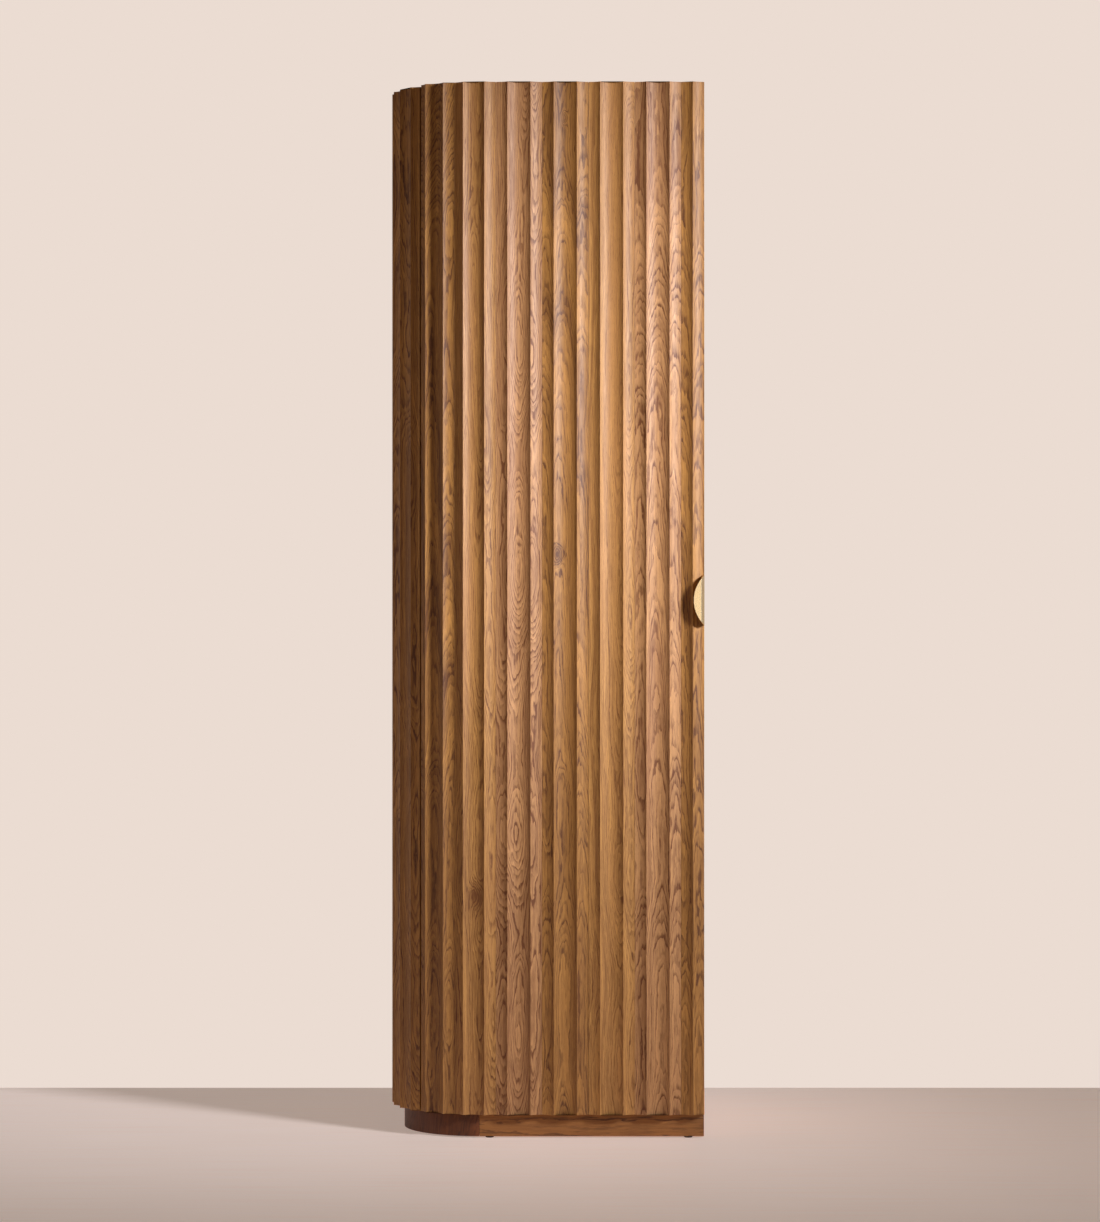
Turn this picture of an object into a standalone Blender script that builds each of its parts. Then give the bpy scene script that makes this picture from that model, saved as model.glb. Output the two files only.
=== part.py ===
"""Pantry cabinet: a tall cupboard with one fluted door that wraps round its left front corner.

Frame: metres, +X to the viewer's right, -Y out of the front, +Z up. The origin is on the floor, under the
middle of the overall box. The fluted skin follows a rim line that is numbered in flutes: 0 is the cusp where
the straight front meets the rounded corner, positive numbers run right along the front, and negative numbers
run round the corner and back along the left side.
"""

import math

import bmesh
import bpy
from mathutils import Vector

# Overall size. The depth is measured from the back to the crests of the flutes, without the pull.
WIDTH = 0.610
DEPTH = 0.610
DOOR_TOP = 2.042
CARCASS_TOP = 2.039
DOOR_BOTTOM = 0.047
SIDE_BOTTOM = 0.0465
PULL_PROJECTION = 0.014

RIGHT_X = WIDTH / 2
LEFT_X = -WIDTH / 2
BACK_Y = (DEPTH + PULL_PROJECTION) / 2
FRONT_Y = BACK_Y - DEPTH

# The fluted skin: round-bottomed flutes between sharp cusps, milled in staves two flutes wide.
CORNER_RADIUS = 0.185
CORNER_FLUTES = 7
FLUTE_DEPTH = 0.0085
CORNER_FLUTE_DEPTH = 0.0079
STRAIGHT_FLUTES = 9.5
PITCH = (WIDTH - CORNER_RADIUS) / STRAIGHT_FLUTES
FLUTE_STEPS = 8
STAVE_THICKNESS = 0.022
CORE_THICKNESS = 0.009
SKIN_THICKNESS = STAVE_THICKNESS + CORE_THICKNESS
GAP = 0.0003

CORNER = Vector((LEFT_X + CORNER_RADIUS, FRONT_Y + CORNER_RADIUS))
FLUTE_ANGLE = math.radians(90) / CORNER_FLUTES
DOOR_END = STRAIGHT_FLUTES
DOOR_SPLIT = -CORNER_FLUTES / 2
SIDE_END = -CORNER_FLUTES - STRAIGHT_FLUTES
STAVE_FLUTES = 2

# The door turns on three hidden pins near the valley where it meets the side, with a round nose in a cove.
# Distances from a pin are given along the gap's tangent, towards the door, and outwards.
PIN_DEPTH = 0.004
PIN_FROM_GAP = 0.010
DOOR_EDGE = 0.009
NOSE_RADIUS = math.hypot(DOOR_EDGE, PIN_DEPTH)
COVE_RADIUS = 0.0135
SIDE_EDGE = math.sqrt(COVE_RADIUS**2 - PIN_DEPTH**2)
SPLIT_DIRECTION = Vector((-math.sin(math.radians(45)), -math.cos(math.radians(45))))
SPLIT_ALONG = Vector((-SPLIT_DIRECTION.y, SPLIT_DIRECTION.x))
VALLEY_RADIUS = CORNER_RADIUS * math.cos(FLUTE_ANGLE / 2) - CORNER_FLUTE_DEPTH
HINGE_HEIGHTS = (0.205, 1.041, 1.880)
PIN_RADIUS = 0.0016
PIN_CLEARANCE = 0.00006
PIN_LENGTH = 0.0130
EYE_RADIUS = 0.003
MORTISE_TOP = 0.0032
WEB_NEAR = 0.005
WEB_FAR = 0.0082
WEB_STEP = 0.009
BLOCK_END = 0.016
BLOCK_FOOT = 0.012
BLOCK_INSIDE = 0.0185
FLANGE_NEAR = 0.0083
FLANGE_FAR = 0.0108
FLANGE_FRONT = 0.0220
FLANGE_BACK = 0.045
POST_SIDE = 0.008
POST_LEFT = 0.042
POST_STEP = 0.0135
POST_FRONT = 0.0225
POST_BACK = 0.046
TONGUE_THICKNESS = 0.003
TONGUE_SLOT = 0.0036
BLOCK_HEIGHT = 0.010
BRACKET_HEIGHT = 0.044

# Panels, shelves and plinth.
PANEL = 0.018
SIDE_PANEL = 0.020
BACK_PANEL = 0.009
DOOR_GAP = 0.0022
CORNER_DOOR_GAP = 0.0042
PLINTH_TOP = 0.0445
PLINTH_BOTTOM = 0.003
PLINTH_SETBACK = 0.025
PLINTH_RADIUS = 0.150
PLINTH_CORNER_X = -0.130
PLINTH_BACK_SETBACK = 0.012
GLIDE_RADIUS = 0.008
SHELF_COUNT = 4
SHELF_SETBACK = 0.012
SHELF_SIDE_GAP = 0.001
SHELF_CORNER = 0.124
CLEAT_WIDTH = 0.015
CLEAT_HEIGHT = 0.015
CLEAT_SETBACK = 0.02
PANEL_NOTCH = 0.13
FRONT_FOOT_LEFT = 0.02
FOOT_SETBACK = 0.03

# How far a cutter or a joining piece runs on past what it cuts or joins.
CUTTER_MARGIN = 0.002
WEB_OVERRUN = 0.001
SLOT_OVERRUN = 0.008
FLANGE_OVERLAP = 0.005
FLANGE_STEP = 0.0025
PULL_MARGIN = 0.01
MOON_FRONT = 0.03
MOON_LENGTH = 0.07

# The pull: a half-moon of folded brass plate over the door's right edge.
PULL_HEIGHT = 1.041
PULL_CIRCLE = 0.0665
PULL_REACH = 0.021
PULL_FOLD = 0.0058
PULL_PLATE = 0.0016
PULL_FOLD_DEPTH = 0.0095
PULL_FLANGE_END = 0.0212
PULL_SCREW_SPACING = 0.056
SCREW_HEAD_RADIUS = 0.0034
SCREW_SHANK_RADIUS = 0.0015
SCREW_LENGTH = 0.016
SCREW_HEAD_LENGTH = 0.0022
SCREW_CLEARANCE = 0.0003

SCREW_HEAD_RIM = 0.0003
SCREW_SUNK = 0.0001
CATCH_SIZE = Vector((0.014, 0.018, 0.046))
STRIKE_HEIGHT = 0.040
STRIKE_THICKNESS = 0.0012

OAK = ("oiled_oak", (0.42, 0.22, 0.10), 0.48, 0.0)
VENEER = ("oak_veneer", (0.47, 0.28, 0.14), 0.50, 0.0)
DARK_OAK = ("dark_oak", (0.10, 0.045, 0.02), 0.50, 0.0)
BRASS = ("polished_brass", (0.80, 0.62, 0.36), 0.22, 1.0)
STEEL = ("zinc_plated_steel", (0.56, 0.56, 0.55), 0.35, 1.0)
PLASTIC = ("black_plastic", (0.03, 0.03, 0.03), 0.45, 0.0)


def clear_scene():
    """Removes every object that the file opened with."""
    for obj in list(bpy.data.objects):
        bpy.data.objects.remove(obj, do_unlink=True)


def material(finish):
    """The Principled material of a finish, made once."""
    name, colour, roughness, metallic = finish
    found = bpy.data.materials.get(name)
    if found:
        return found
    made = bpy.data.materials.new(name)
    made.use_nodes = True
    shader = made.node_tree.nodes["Principled BSDF"]
    shader.inputs["Base Color"].default_value = (*colour, 1)
    shader.inputs["Roughness"].default_value = roughness
    shader.inputs["Metallic"].default_value = metallic
    return made


def add_object(name, bm, finish, place, parent=None):
    """Puts a bmesh drawn in world coordinates into an object whose origin is at place."""
    bmesh.ops.translate(bm, vec=-Vector(place), verts=bm.verts)
    bmesh.ops.recalc_face_normals(bm, faces=bm.faces)
    mesh = bpy.data.meshes.new(name)
    bm.to_mesh(mesh)
    bm.free()
    mesh.shade_smooth()
    mesh.set_sharp_from_angle(angle=math.radians(30))
    obj = bpy.data.objects.new(name, mesh)
    bpy.context.collection.objects.link(obj)
    obj.location = Vector(place)
    if parent:
        obj.parent = parent
        obj.location -= parent.location
    obj.data.materials.append(material(finish))
    return obj


def prism(name, outline, low, high, finish, parent=None):
    """An upright prism on a plan outline, from z = low to z = high. Its origin is mid-plan, at the base."""
    bm = bmesh.new()
    base = bm.faces.new([bm.verts.new((point[0], point[1], low)) for point in outline])
    raised = bmesh.ops.extrude_face_region(bm, geom=[base])
    moved = [item for item in raised["geom"] if isinstance(item, bmesh.types.BMVert)]
    bmesh.ops.translate(bm, vec=(0, 0, high - low), verts=moved)
    middle_x = (min(p[0] for p in outline) + max(p[0] for p in outline)) / 2
    middle_y = (min(p[1] for p in outline) + max(p[1] for p in outline)) / 2
    return add_object(name, bm, finish, (middle_x, middle_y, low), parent)


def block(name, low, high, finish, parent=None):
    """A rectangular solid between two corners."""
    outline = [(low[0], low[1]), (high[0], low[1]), (high[0], high[1]), (low[0], high[1])]
    return prism(name, outline, low[2], high[2], finish, parent)


def turned_along_x(name, profile, place, finish, parent=None):
    """A turned solid about a line along X. The profile is (distance inwards from place, radius) points."""
    steps = 16
    bm = bmesh.new()
    rings = []
    for inwards, radius in profile:
        ring = []
        for step in range(steps):
            angle = 2 * math.pi * step / steps
            offset = (-inwards, radius * math.cos(angle), radius * math.sin(angle))
            ring.append(bm.verts.new(Vector(place) + Vector(offset)))
        rings.append(ring)
    bm.faces.new(rings[0])
    bm.faces.new(rings[-1])
    for near, far in zip(rings, rings[1:]):
        for step in range(steps):
            following = (step + 1) % steps
            bm.faces.new((near[step], near[following], far[following], far[step]))
    return add_object(name, bm, finish, place, parent)


def combine(target, tool, operation="DIFFERENCE"):
    """Cuts, joins or intersects target with a tool, which stays in the file as a hidden guide."""
    tool.hide_render = True
    tool.display_type = "WIRE"
    modifier = target.modifiers.new(tool.name, "BOOLEAN")
    modifier.operation = operation
    modifier.solver = "EXACT"
    modifier.object = tool


def circle(centre, radius, start=0.0, end=360.0, steps=24):
    """Plan points on an arc, in degrees anticlockwise from +X. A full turn leaves out its last point."""
    count = steps if abs(end - start) >= 360 else steps + 1
    points = []
    for step in range(count):
        angle = math.radians(start + (end - start) * step / steps)
        points.append((centre[0] + radius * math.cos(angle), centre[1] + radius * math.sin(angle)))
    return points


def rim(flute, inset=0.0):
    """The plan point at a flute number on the line through the cusps, moved inwards by inset."""
    if flute >= 0:
        return Vector((CORNER.x + flute * PITCH, FRONT_Y + inset))
    if flute >= -CORNER_FLUTES:
        angle = -flute * FLUTE_ANGLE
        reach = CORNER_RADIUS - inset
        return Vector((CORNER.x - reach * math.sin(angle), CORNER.y - reach * math.cos(angle)))
    return Vector((LEFT_X + inset, CORNER.y + (-CORNER_FLUTES - flute) * PITCH))


def flute_surface(flute):
    """The plan point on the fluted face: an arc hung between its two neighbouring cusps."""
    first = math.floor(flute)
    share = flute - first
    start = rim(first)
    chord = rim(first + 1) - start
    half = chord.length / 2
    in_corner = -CORNER_FLUTES <= first < 0
    depth = CORNER_FLUTE_DEPTH if in_corner else FLUTE_DEPTH
    arc_radius = (half**2 + depth**2) / (2 * depth)
    along = (2 * share - 1) * half
    hollow = math.sqrt(arc_radius**2 - along**2) - (arc_radius - depth)
    inwards = Vector((-chord.y, chord.x)).normalized()
    return start + chord * share + inwards * hollow


def flute_stops(start, end):
    """Flute numbers from start to end, at every cusp and at even steps between."""
    step = 1 / FLUTE_STEPS
    count = round((end - start) / step)
    return [start] + [round(start / step) * step + index * step for index in range(1, count)] + [end]


def at_pin(along, out):
    """The plan point at an offset from the hinge pin, along the gap's tangent and outwards."""
    return PIN_AXIS + SPLIT_ALONG * along + SPLIT_DIRECTION * out


def pin_arc(radius, start, end, steps):
    """Points on an arc about the hinge pin, in degrees from the tangent towards the outside."""
    points = []
    for step in range(steps + 1):
        angle = math.radians(start + (end - start) * step / steps)
        points.append(at_pin(radius * math.cos(angle), radius * math.sin(angle)))
    return points


PIN_AXIS = CORNER + SPLIT_DIRECTION * (VALLEY_RADIUS - PIN_DEPTH) + SPLIT_ALONG * PIN_FROM_GAP


def stave_outline(start, end, low_edge=None, high_edge=None):
    """The plan outline of a stave between two flute numbers.

    An edge is a list of points from the outside to the inside. Without one, the edge is a plain glue joint.
    """
    joint = GAP / 2 / PITCH
    inset = STAVE_THICKNESS
    stops = flute_stops(start, end)
    outer = [flute_surface(stop) for stop in stops[1:-1]]
    inner = [rim(stop, inset) for stop in stops[1:-1][:: FLUTE_STEPS // 4]]
    low = low_edge or [flute_surface(start + joint), rim(start + joint, inset)]
    high = high_edge or [flute_surface(end - joint), rim(end - joint, inset)]
    if min(start, end) >= 0 or max(start, end) <= -CORNER_FLUTES:
        inner = []
    return list(reversed(low)) + outer + list(high) + list(reversed(inner))


def core_outline(start, end, low_edge=None, high_edge=None):
    """The plan outline of the bent plywood core behind the staves, between two flute numbers."""
    stops = [start] + [stop for stop in flute_stops(-CORNER_FLUTES, 0)[::4] if start < stop < end] + [end]
    outer_inset = STAVE_THICKNESS + GAP
    middle = stops[1:-1]
    low = low_edge or [rim(start, outer_inset), rim(start, SKIN_THICKNESS)]
    high = high_edge or [rim(end, outer_inset), rim(end, SKIN_THICKNESS)]
    outer = [rim(stop, outer_inset) for stop in middle]
    inner = [rim(stop, SKIN_THICKNESS) for stop in middle]
    return list(reversed(low)) + outer + list(high) + list(reversed(inner))


def nose_edge():
    """The door's hinge edge, outside to inside: the valley corner, then a round nose about the pin."""
    inside = CORNER_RADIUS - STAVE_THICKNESS - (VALLEY_RADIUS - PIN_DEPTH)
    corner = math.degrees(math.atan2(PIN_DEPTH, -DOOR_EDGE))
    return pin_arc(NOSE_RADIUS, corner, 360 - corner, 10) + [at_pin(-DOOR_EDGE, inside)]


def cove_edge():
    """The side's front edge, outside to inside: the hollow that the door's nose turns in."""
    inside = CORNER_RADIUS - STAVE_THICKNESS - (VALLEY_RADIUS - PIN_DEPTH)
    corner = math.degrees(math.atan2(PIN_DEPTH, -SIDE_EDGE))
    return pin_arc(COVE_RADIUS, corner, 360 - corner, 10) + [at_pin(-SIDE_EDGE, inside)]


def core_edge(along):
    """The hinge edge of a core, outside to inside, cut square to the skin at a distance from the pin."""
    pin_radius = VALLEY_RADIUS - PIN_DEPTH
    outer = CORNER_RADIUS - STAVE_THICKNESS - GAP - pin_radius
    inner = CORNER_RADIUS - SKIN_THICKNESS - pin_radius
    return [at_pin(along, outer), at_pin(along, inner)]


def panel_outline(front_inset, corner_inset, right):
    """The plan outline of a panel inside the skin, with its round left front corner."""
    left = SKIN_THICKNESS + GAP
    back = BACK_Y - BACK_PANEL - GAP
    split = DOOR_SPLIT - PANEL_NOTCH
    halves = CORNER_FLUTES
    outline = [(LEFT_X + left, back)]
    outline += [rim(-CORNER_FLUTES + step / 2, left) for step in range(halves)]
    outline += [rim(split, left), rim(split, corner_inset)]
    outline += [rim(DOOR_SPLIT + step / 2, corner_inset) for step in range(1, halves)]
    outline += [rim(0, front_inset), (right, FRONT_Y + front_inset), (right, back)]
    return outline


def add_door(pivot):
    """The door: fluted staves on a bent core, with its pull, hinge blocks, pins and catch plates."""
    edges = [DOOR_SPLIT]
    while edges[-1] < DOOR_END:
        edges.append(min(edges[-1] + STAVE_FLUTES, DOOR_END))
    staves = []
    for index, (start, end) in enumerate(zip(edges, edges[1:])):
        low_edge = nose_edge() if index == 0 else None
        high_edge = [flute_surface(end), rim(end, STAVE_THICKNESS)] if end == DOOR_END else None
        outline = stave_outline(start, end, low_edge, high_edge)
        staves.append(prism(f"door_stave_{index + 1}", outline, DOOR_BOTTOM, DOOR_TOP, OAK, pivot))
    outline = core_outline(DOOR_SPLIT, DOOR_END, low_edge=core_edge(-DOOR_EDGE))
    core = prism("door_core", outline, DOOR_BOTTOM, DOOR_TOP, VENEER, pivot)
    add_hinge_blocks(pivot, staves[0], core)
    add_pull(pivot, staves[-1])
    for name, height in (("top", strike_height(True)), ("bottom", strike_height(False))):
        back = FRONT_Y + SKIN_THICKNESS + GAP
        low = (catch_left(), back, height - STRIKE_HEIGHT / 2)
        high = (catch_left() + CATCH_SIZE.x, back + STRIKE_THICKNESS, height + STRIKE_HEIGHT / 2)
        block(f"strike_plate_{name}", low, high, STEEL, pivot)


def mortise_outline():
    """The pocket for a hinge block, open at the door's edge and at its inner face."""
    edge, end = -NOSE_RADIUS - CUTTER_MARGIN, BLOCK_END + GAP
    inside = -BLOCK_INSIDE - SLOT_OVERRUN
    return [at_pin(edge, MORTISE_TOP), at_pin(edge, inside), at_pin(end, inside), at_pin(end, MORTISE_TOP)]


def add_hinge_blocks(pivot, stave, core):
    """The forked steel blocks let into the door's hinge edge, each with its pin."""
    beyond = -BLOCK_INSIDE - WEB_OVERRUN
    web = [at_pin(WEB_NEAR, WEB_NEAR), at_pin(WEB_NEAR, -WEB_OVERRUN), at_pin(WEB_FAR, -WEB_STEP)]
    slot = web + [at_pin(BLOCK_FOOT, beyond), at_pin(-SLOT_OVERRUN, beyond), at_pin(-SLOT_OVERRUN, WEB_NEAR)]
    shape = pin_arc(EYE_RADIUS, 90, 270, 12)
    shape += [at_pin(WEB_NEAR, -WEB_STEP), at_pin(BLOCK_FOOT, -BLOCK_INSIDE)]
    shape += [at_pin(BLOCK_END, -BLOCK_INSIDE), at_pin(BLOCK_END, EYE_RADIUS)]
    for index, height in enumerate(HINGE_HEIGHTS, start=1):
        reach = BLOCK_HEIGHT / 2 + GAP
        # The pin's bore goes on past the block into the wood, so the pocket has a narrow well at each end.
        mortise = prism(f"cut_mortise_{index}", mortise_outline(), height - reach, height + reach, OAK)
        well = prism(
            f"cut_pin_well_{index}",
            circle(PIN_AXIS, PIN_RADIUS + GAP),
            height - PIN_LENGTH / 2 - GAP,
            height + PIN_LENGTH / 2 + GAP,
            OAK,
        )
        combine(stave, mortise)
        combine(stave, well)
        combine(core, mortise)
        low, high = height - BLOCK_HEIGHT / 2, height + BLOCK_HEIGHT / 2
        hinge_block = prism(f"hinge_{index}_door_block", shape, low, high, STEEL, pivot)
        gap = prism(f"cut_tongue_{index}", slot, height - TONGUE_SLOT / 2, height + TONGUE_SLOT / 2, STEEL)
        bore = prism(
            f"cut_pin_bore_{index}",
            circle(PIN_AXIS, PIN_RADIUS + PIN_CLEARANCE),
            low - CUTTER_MARGIN,
            high + CUTTER_MARGIN,
            STEEL,
        )
        combine(hinge_block, gap)
        combine(hinge_block, bore)
        ends = (height - PIN_LENGTH / 2, height + PIN_LENGTH / 2)
        prism(f"hinge_{index}_pin", circle(PIN_AXIS, PIN_RADIUS), *ends, STEEL, pivot)


def pull_profile():
    """The plan section of the folded plate, outside then inside, from the lip's tip to the flange's end."""
    lip_y = FRONT_Y - PULL_PROJECTION
    fold_y = lip_y + PULL_FOLD_DEPTH
    fold_x = RIGHT_X - PULL_FOLD
    slope = math.hypot(PULL_FOLD, PULL_FOLD_DEPTH)
    lip_turn = PULL_PLATE * (slope - PULL_FOLD) / PULL_FOLD_DEPTH
    flange_turn = PULL_PLATE * (slope - PULL_FOLD_DEPTH) / PULL_FOLD
    tip_x = RIGHT_X - PULL_REACH - CUTTER_MARGIN
    outside = [(tip_x, lip_y), (fold_x, lip_y), (RIGHT_X, fold_y), (RIGHT_X, FRONT_Y + PULL_FLANGE_END)]
    inside = [
        (RIGHT_X - PULL_PLATE, FRONT_Y + PULL_FLANGE_END),
        (RIGHT_X - PULL_PLATE, fold_y + flange_turn),
        (fold_x - lip_turn, lip_y + PULL_PLATE),
        (tip_x, lip_y + PULL_PLATE),
    ]
    return outside + inside


def add_pull(pivot, stave):
    """The half-moon pull, its rebate in the door's edge and its two countersunk screws."""
    half = PULL_CIRCLE + PULL_MARGIN
    plate = prism("pull", pull_profile(), PULL_HEIGHT - half, PULL_HEIGHT + half, BRASS, pivot)
    centre_x = RIGHT_X - PULL_REACH + PULL_CIRCLE
    half_chord = math.sqrt(PULL_CIRCLE**2 - (centre_x - RIGHT_X) ** 2)
    edge_angle = math.degrees(math.atan2(half_chord, RIGHT_X - centre_x))
    moon = circle((centre_x, PULL_HEIGHT), PULL_CIRCLE, edge_angle, 360 - edge_angle, 28)
    past_edge = RIGHT_X + PULL_MARGIN
    moon += [(past_edge, PULL_HEIGHT - half_chord), (past_edge, PULL_HEIGHT + half_chord)]
    bm = bmesh.new()
    front = bm.faces.new([bm.verts.new((x, FRONT_Y - MOON_FRONT, z)) for x, z in moon])
    raised = bmesh.ops.extrude_face_region(bm, geom=[front])
    moved = [item for item in raised["geom"] if isinstance(item, bmesh.types.BMVert)]
    bmesh.ops.translate(bm, vec=(0, MOON_LENGTH, 0), verts=moved)
    combine(plate, add_object("keep_half_moon", bm, BRASS, (RIGHT_X, FRONT_Y, PULL_HEIGHT)), "INTERSECT")
    rebate = block(
        "cut_pull_rebate",
        (RIGHT_X - PULL_PLATE - GAP, FRONT_Y, PULL_HEIGHT - half_chord - GAP),
        (RIGHT_X + CUTTER_MARGIN, FRONT_Y + PULL_FLANGE_END + GAP, PULL_HEIGHT + half_chord + GAP),
        OAK,
    )
    combine(stave, rebate)
    screw_y = FRONT_Y + (FLUTE_DEPTH + STAVE_THICKNESS) / 2
    for index, side in enumerate((1, -1), start=1):
        place = (RIGHT_X, screw_y, PULL_HEIGHT + side * PULL_SCREW_SPACING / 2)
        turned_along_x(f"pull_screw_{index}", screw_profile(0.0, SCREW_SUNK), place, BRASS, pivot)
        wider = screw_profile(SCREW_CLEARANCE, -CUTTER_MARGIN)
        hole = turned_along_x(f"cut_screw_{index}", wider, place, BRASS)
        combine(plate, hole)
        combine(stave, hole)


def screw_profile(clearance, front):
    """A countersunk screw's section: its flat head, its cone and its shank."""
    head = SCREW_HEAD_RADIUS + clearance
    shank = SCREW_SHANK_RADIUS + clearance
    return [
        (front, head),
        (SCREW_HEAD_RIM, head),
        (SCREW_HEAD_LENGTH, shank),
        (SCREW_LENGTH + clearance, shank),
    ]


def catch_left():
    """The left side of the catches, which are screwed to the right side panel."""
    return RIGHT_X - SIDE_PANEL - GAP - CATCH_SIZE.x


def strike_height(top):
    """The height of the middle of the top or the bottom catch."""
    if top:
        return CARCASS_TOP - PANEL - GAP - CATCH_SIZE.z / 2
    return PLINTH_TOP + GAP + PANEL + GAP + CATCH_SIZE.z / 2


def add_side():
    """The fixed fluted side: staves on a bent core, from the door's edge to the back."""
    edges = [DOOR_SPLIT]
    while edges[-1] > SIDE_END:
        edges.append(max(edges[-1] - STAVE_FLUTES, SIDE_END))
    for index, (end, start) in enumerate(zip(edges, edges[1:])):
        high_edge = cove_edge() if index == 0 else None
        low_edge = [flute_surface(start), rim(start, STAVE_THICKNESS)] if start == SIDE_END else None
        outline = stave_outline(start, end, low_edge, high_edge)
        prism(f"side_stave_{index + 1}", outline, SIDE_BOTTOM, CARCASS_TOP, OAK)
    outline = core_outline(SIDE_END, DOOR_SPLIT, high_edge=core_edge(-SIDE_EDGE))
    prism("side_core", outline, SIDE_BOTTOM, CARCASS_TOP, VENEER)


def add_hinge_post():
    """The upright that carries the hinges, glued into the curve of the side just behind the door's edge."""
    gap_line = VALLEY_RADIUS - PIN_DEPTH
    reach = CORNER_RADIUS - SKIN_THICKNESS - GAP
    curve = []
    for step in range(7):
        along = -POST_LEFT + step * (POST_LEFT - POST_STEP) / 6
        out = math.sqrt(reach**2 - (along + PIN_FROM_GAP) ** 2) - gap_line
        curve.append(at_pin(along, out))
    outline = [at_pin(POST_SIDE, -POST_FRONT), at_pin(POST_SIDE, -POST_BACK), at_pin(-POST_LEFT, -POST_BACK)]
    outline += curve + [at_pin(-POST_STEP, -POST_FRONT)]
    low = PLINTH_TOP + GAP + PANEL + GAP
    prism("hinge_post", outline, low, CARCASS_TOP - PANEL - GAP, OAK)


def add_hinge_brackets():
    """The steel brackets on the post: a flange on its side, and a tongue whose eye holds the door's pin."""
    root = -FLANGE_FRONT - FLANGE_OVERLAP
    tongue = pin_arc(EYE_RADIUS, -28, 262, 20)
    tongue += [at_pin(FLANGE_NEAR, -FLANGE_FRONT), at_pin(FLANGE_NEAR, root)]
    tongue += [at_pin(FLANGE_FAR, root), at_pin(FLANGE_FAR, -FLANGE_FRONT + FLANGE_STEP)]
    flange = [at_pin(FLANGE_NEAR, -FLANGE_BACK), at_pin(FLANGE_FAR, -FLANGE_BACK)]
    flange += [at_pin(FLANGE_FAR, -FLANGE_FRONT), at_pin(FLANGE_NEAR, -FLANGE_FRONT)]
    for index, height in enumerate(HINGE_HEIGHTS, start=1):
        half = TONGUE_THICKNESS / 2
        bracket = prism(f"hinge_{index}_bracket", tongue, height - half, height + half, STEEL)
        edges = (height - BRACKET_HEIGHT / 2, height + BRACKET_HEIGHT / 2)
        combine(bracket, prism(f"join_flange_{index}", flange, *edges, STEEL), "UNION")
        ends = (height - TONGUE_THICKNESS, height + TONGUE_THICKNESS)
        bore = prism(f"cut_eye_{index}", circle(PIN_AXIS, PIN_RADIUS + PIN_CLEARANCE), *ends, STEEL)
        combine(bracket, bore)


def add_panels():
    """The top, bottom, right side and back panels."""
    right = RIGHT_X - SIDE_PANEL - GAP
    outline = panel_outline(SKIN_THICKNESS + DOOR_GAP, SKIN_THICKNESS + CORNER_DOOR_GAP, right)
    bottom = PLINTH_TOP + GAP
    prism("bottom_panel", outline, bottom, bottom + PANEL, VENEER)
    prism("top_panel", outline, CARCASS_TOP - PANEL, CARCASS_TOP, VENEER)
    front = FRONT_Y + SKIN_THICKNESS + DOOR_GAP
    block("right_side_panel", (RIGHT_X - SIDE_PANEL, front, bottom), (RIGHT_X, BACK_Y, CARCASS_TOP), VENEER)
    low = (LEFT_X + SKIN_THICKNESS + GAP, BACK_Y - BACK_PANEL, bottom)
    block("back_panel", low, (right, BACK_Y, CARCASS_TOP), VENEER)


def add_shelves():
    """The shelves at even heights, each on two cleats, with the corner cut off for the hinge post."""
    floor = PLINTH_TOP + GAP + PANEL
    ceiling = CARCASS_TOP - PANEL
    clear = (ceiling - floor - SHELF_COUNT * PANEL) / (SHELF_COUNT + 1)
    left = LEFT_X + SKIN_THICKNESS + SHELF_SIDE_GAP
    right = RIGHT_X - SIDE_PANEL - SHELF_SIDE_GAP
    front = FRONT_Y + SKIN_THICKNESS + SHELF_SETBACK
    back = BACK_Y - BACK_PANEL - SHELF_SIDE_GAP
    diagonal = CORNER + SPLIT_DIRECTION * SHELF_CORNER
    cut_at_front = diagonal.x + (diagonal.y - front)
    corner_inset = SKIN_THICKNESS + SHELF_SIDE_GAP
    turn = math.radians(45) + math.acos(SHELF_CORNER / (CORNER_RADIUS - corner_inset))
    cut_at_side = rim(-turn / FLUTE_ANGLE, corner_inset)
    outline = [(left, back), (left, CORNER.y), cut_at_side]
    outline += [(cut_at_front, front), (right, front), (right, back)]
    for index in range(1, SHELF_COUNT + 1):
        height = floor + index * clear + (index - 1) * PANEL
        prism(f"shelf_{index}", outline, height, height + PANEL, VENEER)
        under = (height - GAP - CLEAT_HEIGHT, height - GAP)
        left_wall = LEFT_X + SKIN_THICKNESS + GAP
        right_wall = RIGHT_X - SIDE_PANEL - GAP
        low = (left_wall, CORNER.y, under[0])
        high = (left_wall + CLEAT_WIDTH, back - CLEAT_SETBACK, under[1])
        block(f"shelf_{index}_left_cleat", low, high, OAK)
        low = (right_wall - CLEAT_WIDTH, front + CLEAT_SETBACK, under[0])
        high = (right_wall, back - CLEAT_SETBACK, under[1])
        block(f"shelf_{index}_right_cleat", low, high, OAK)


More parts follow.
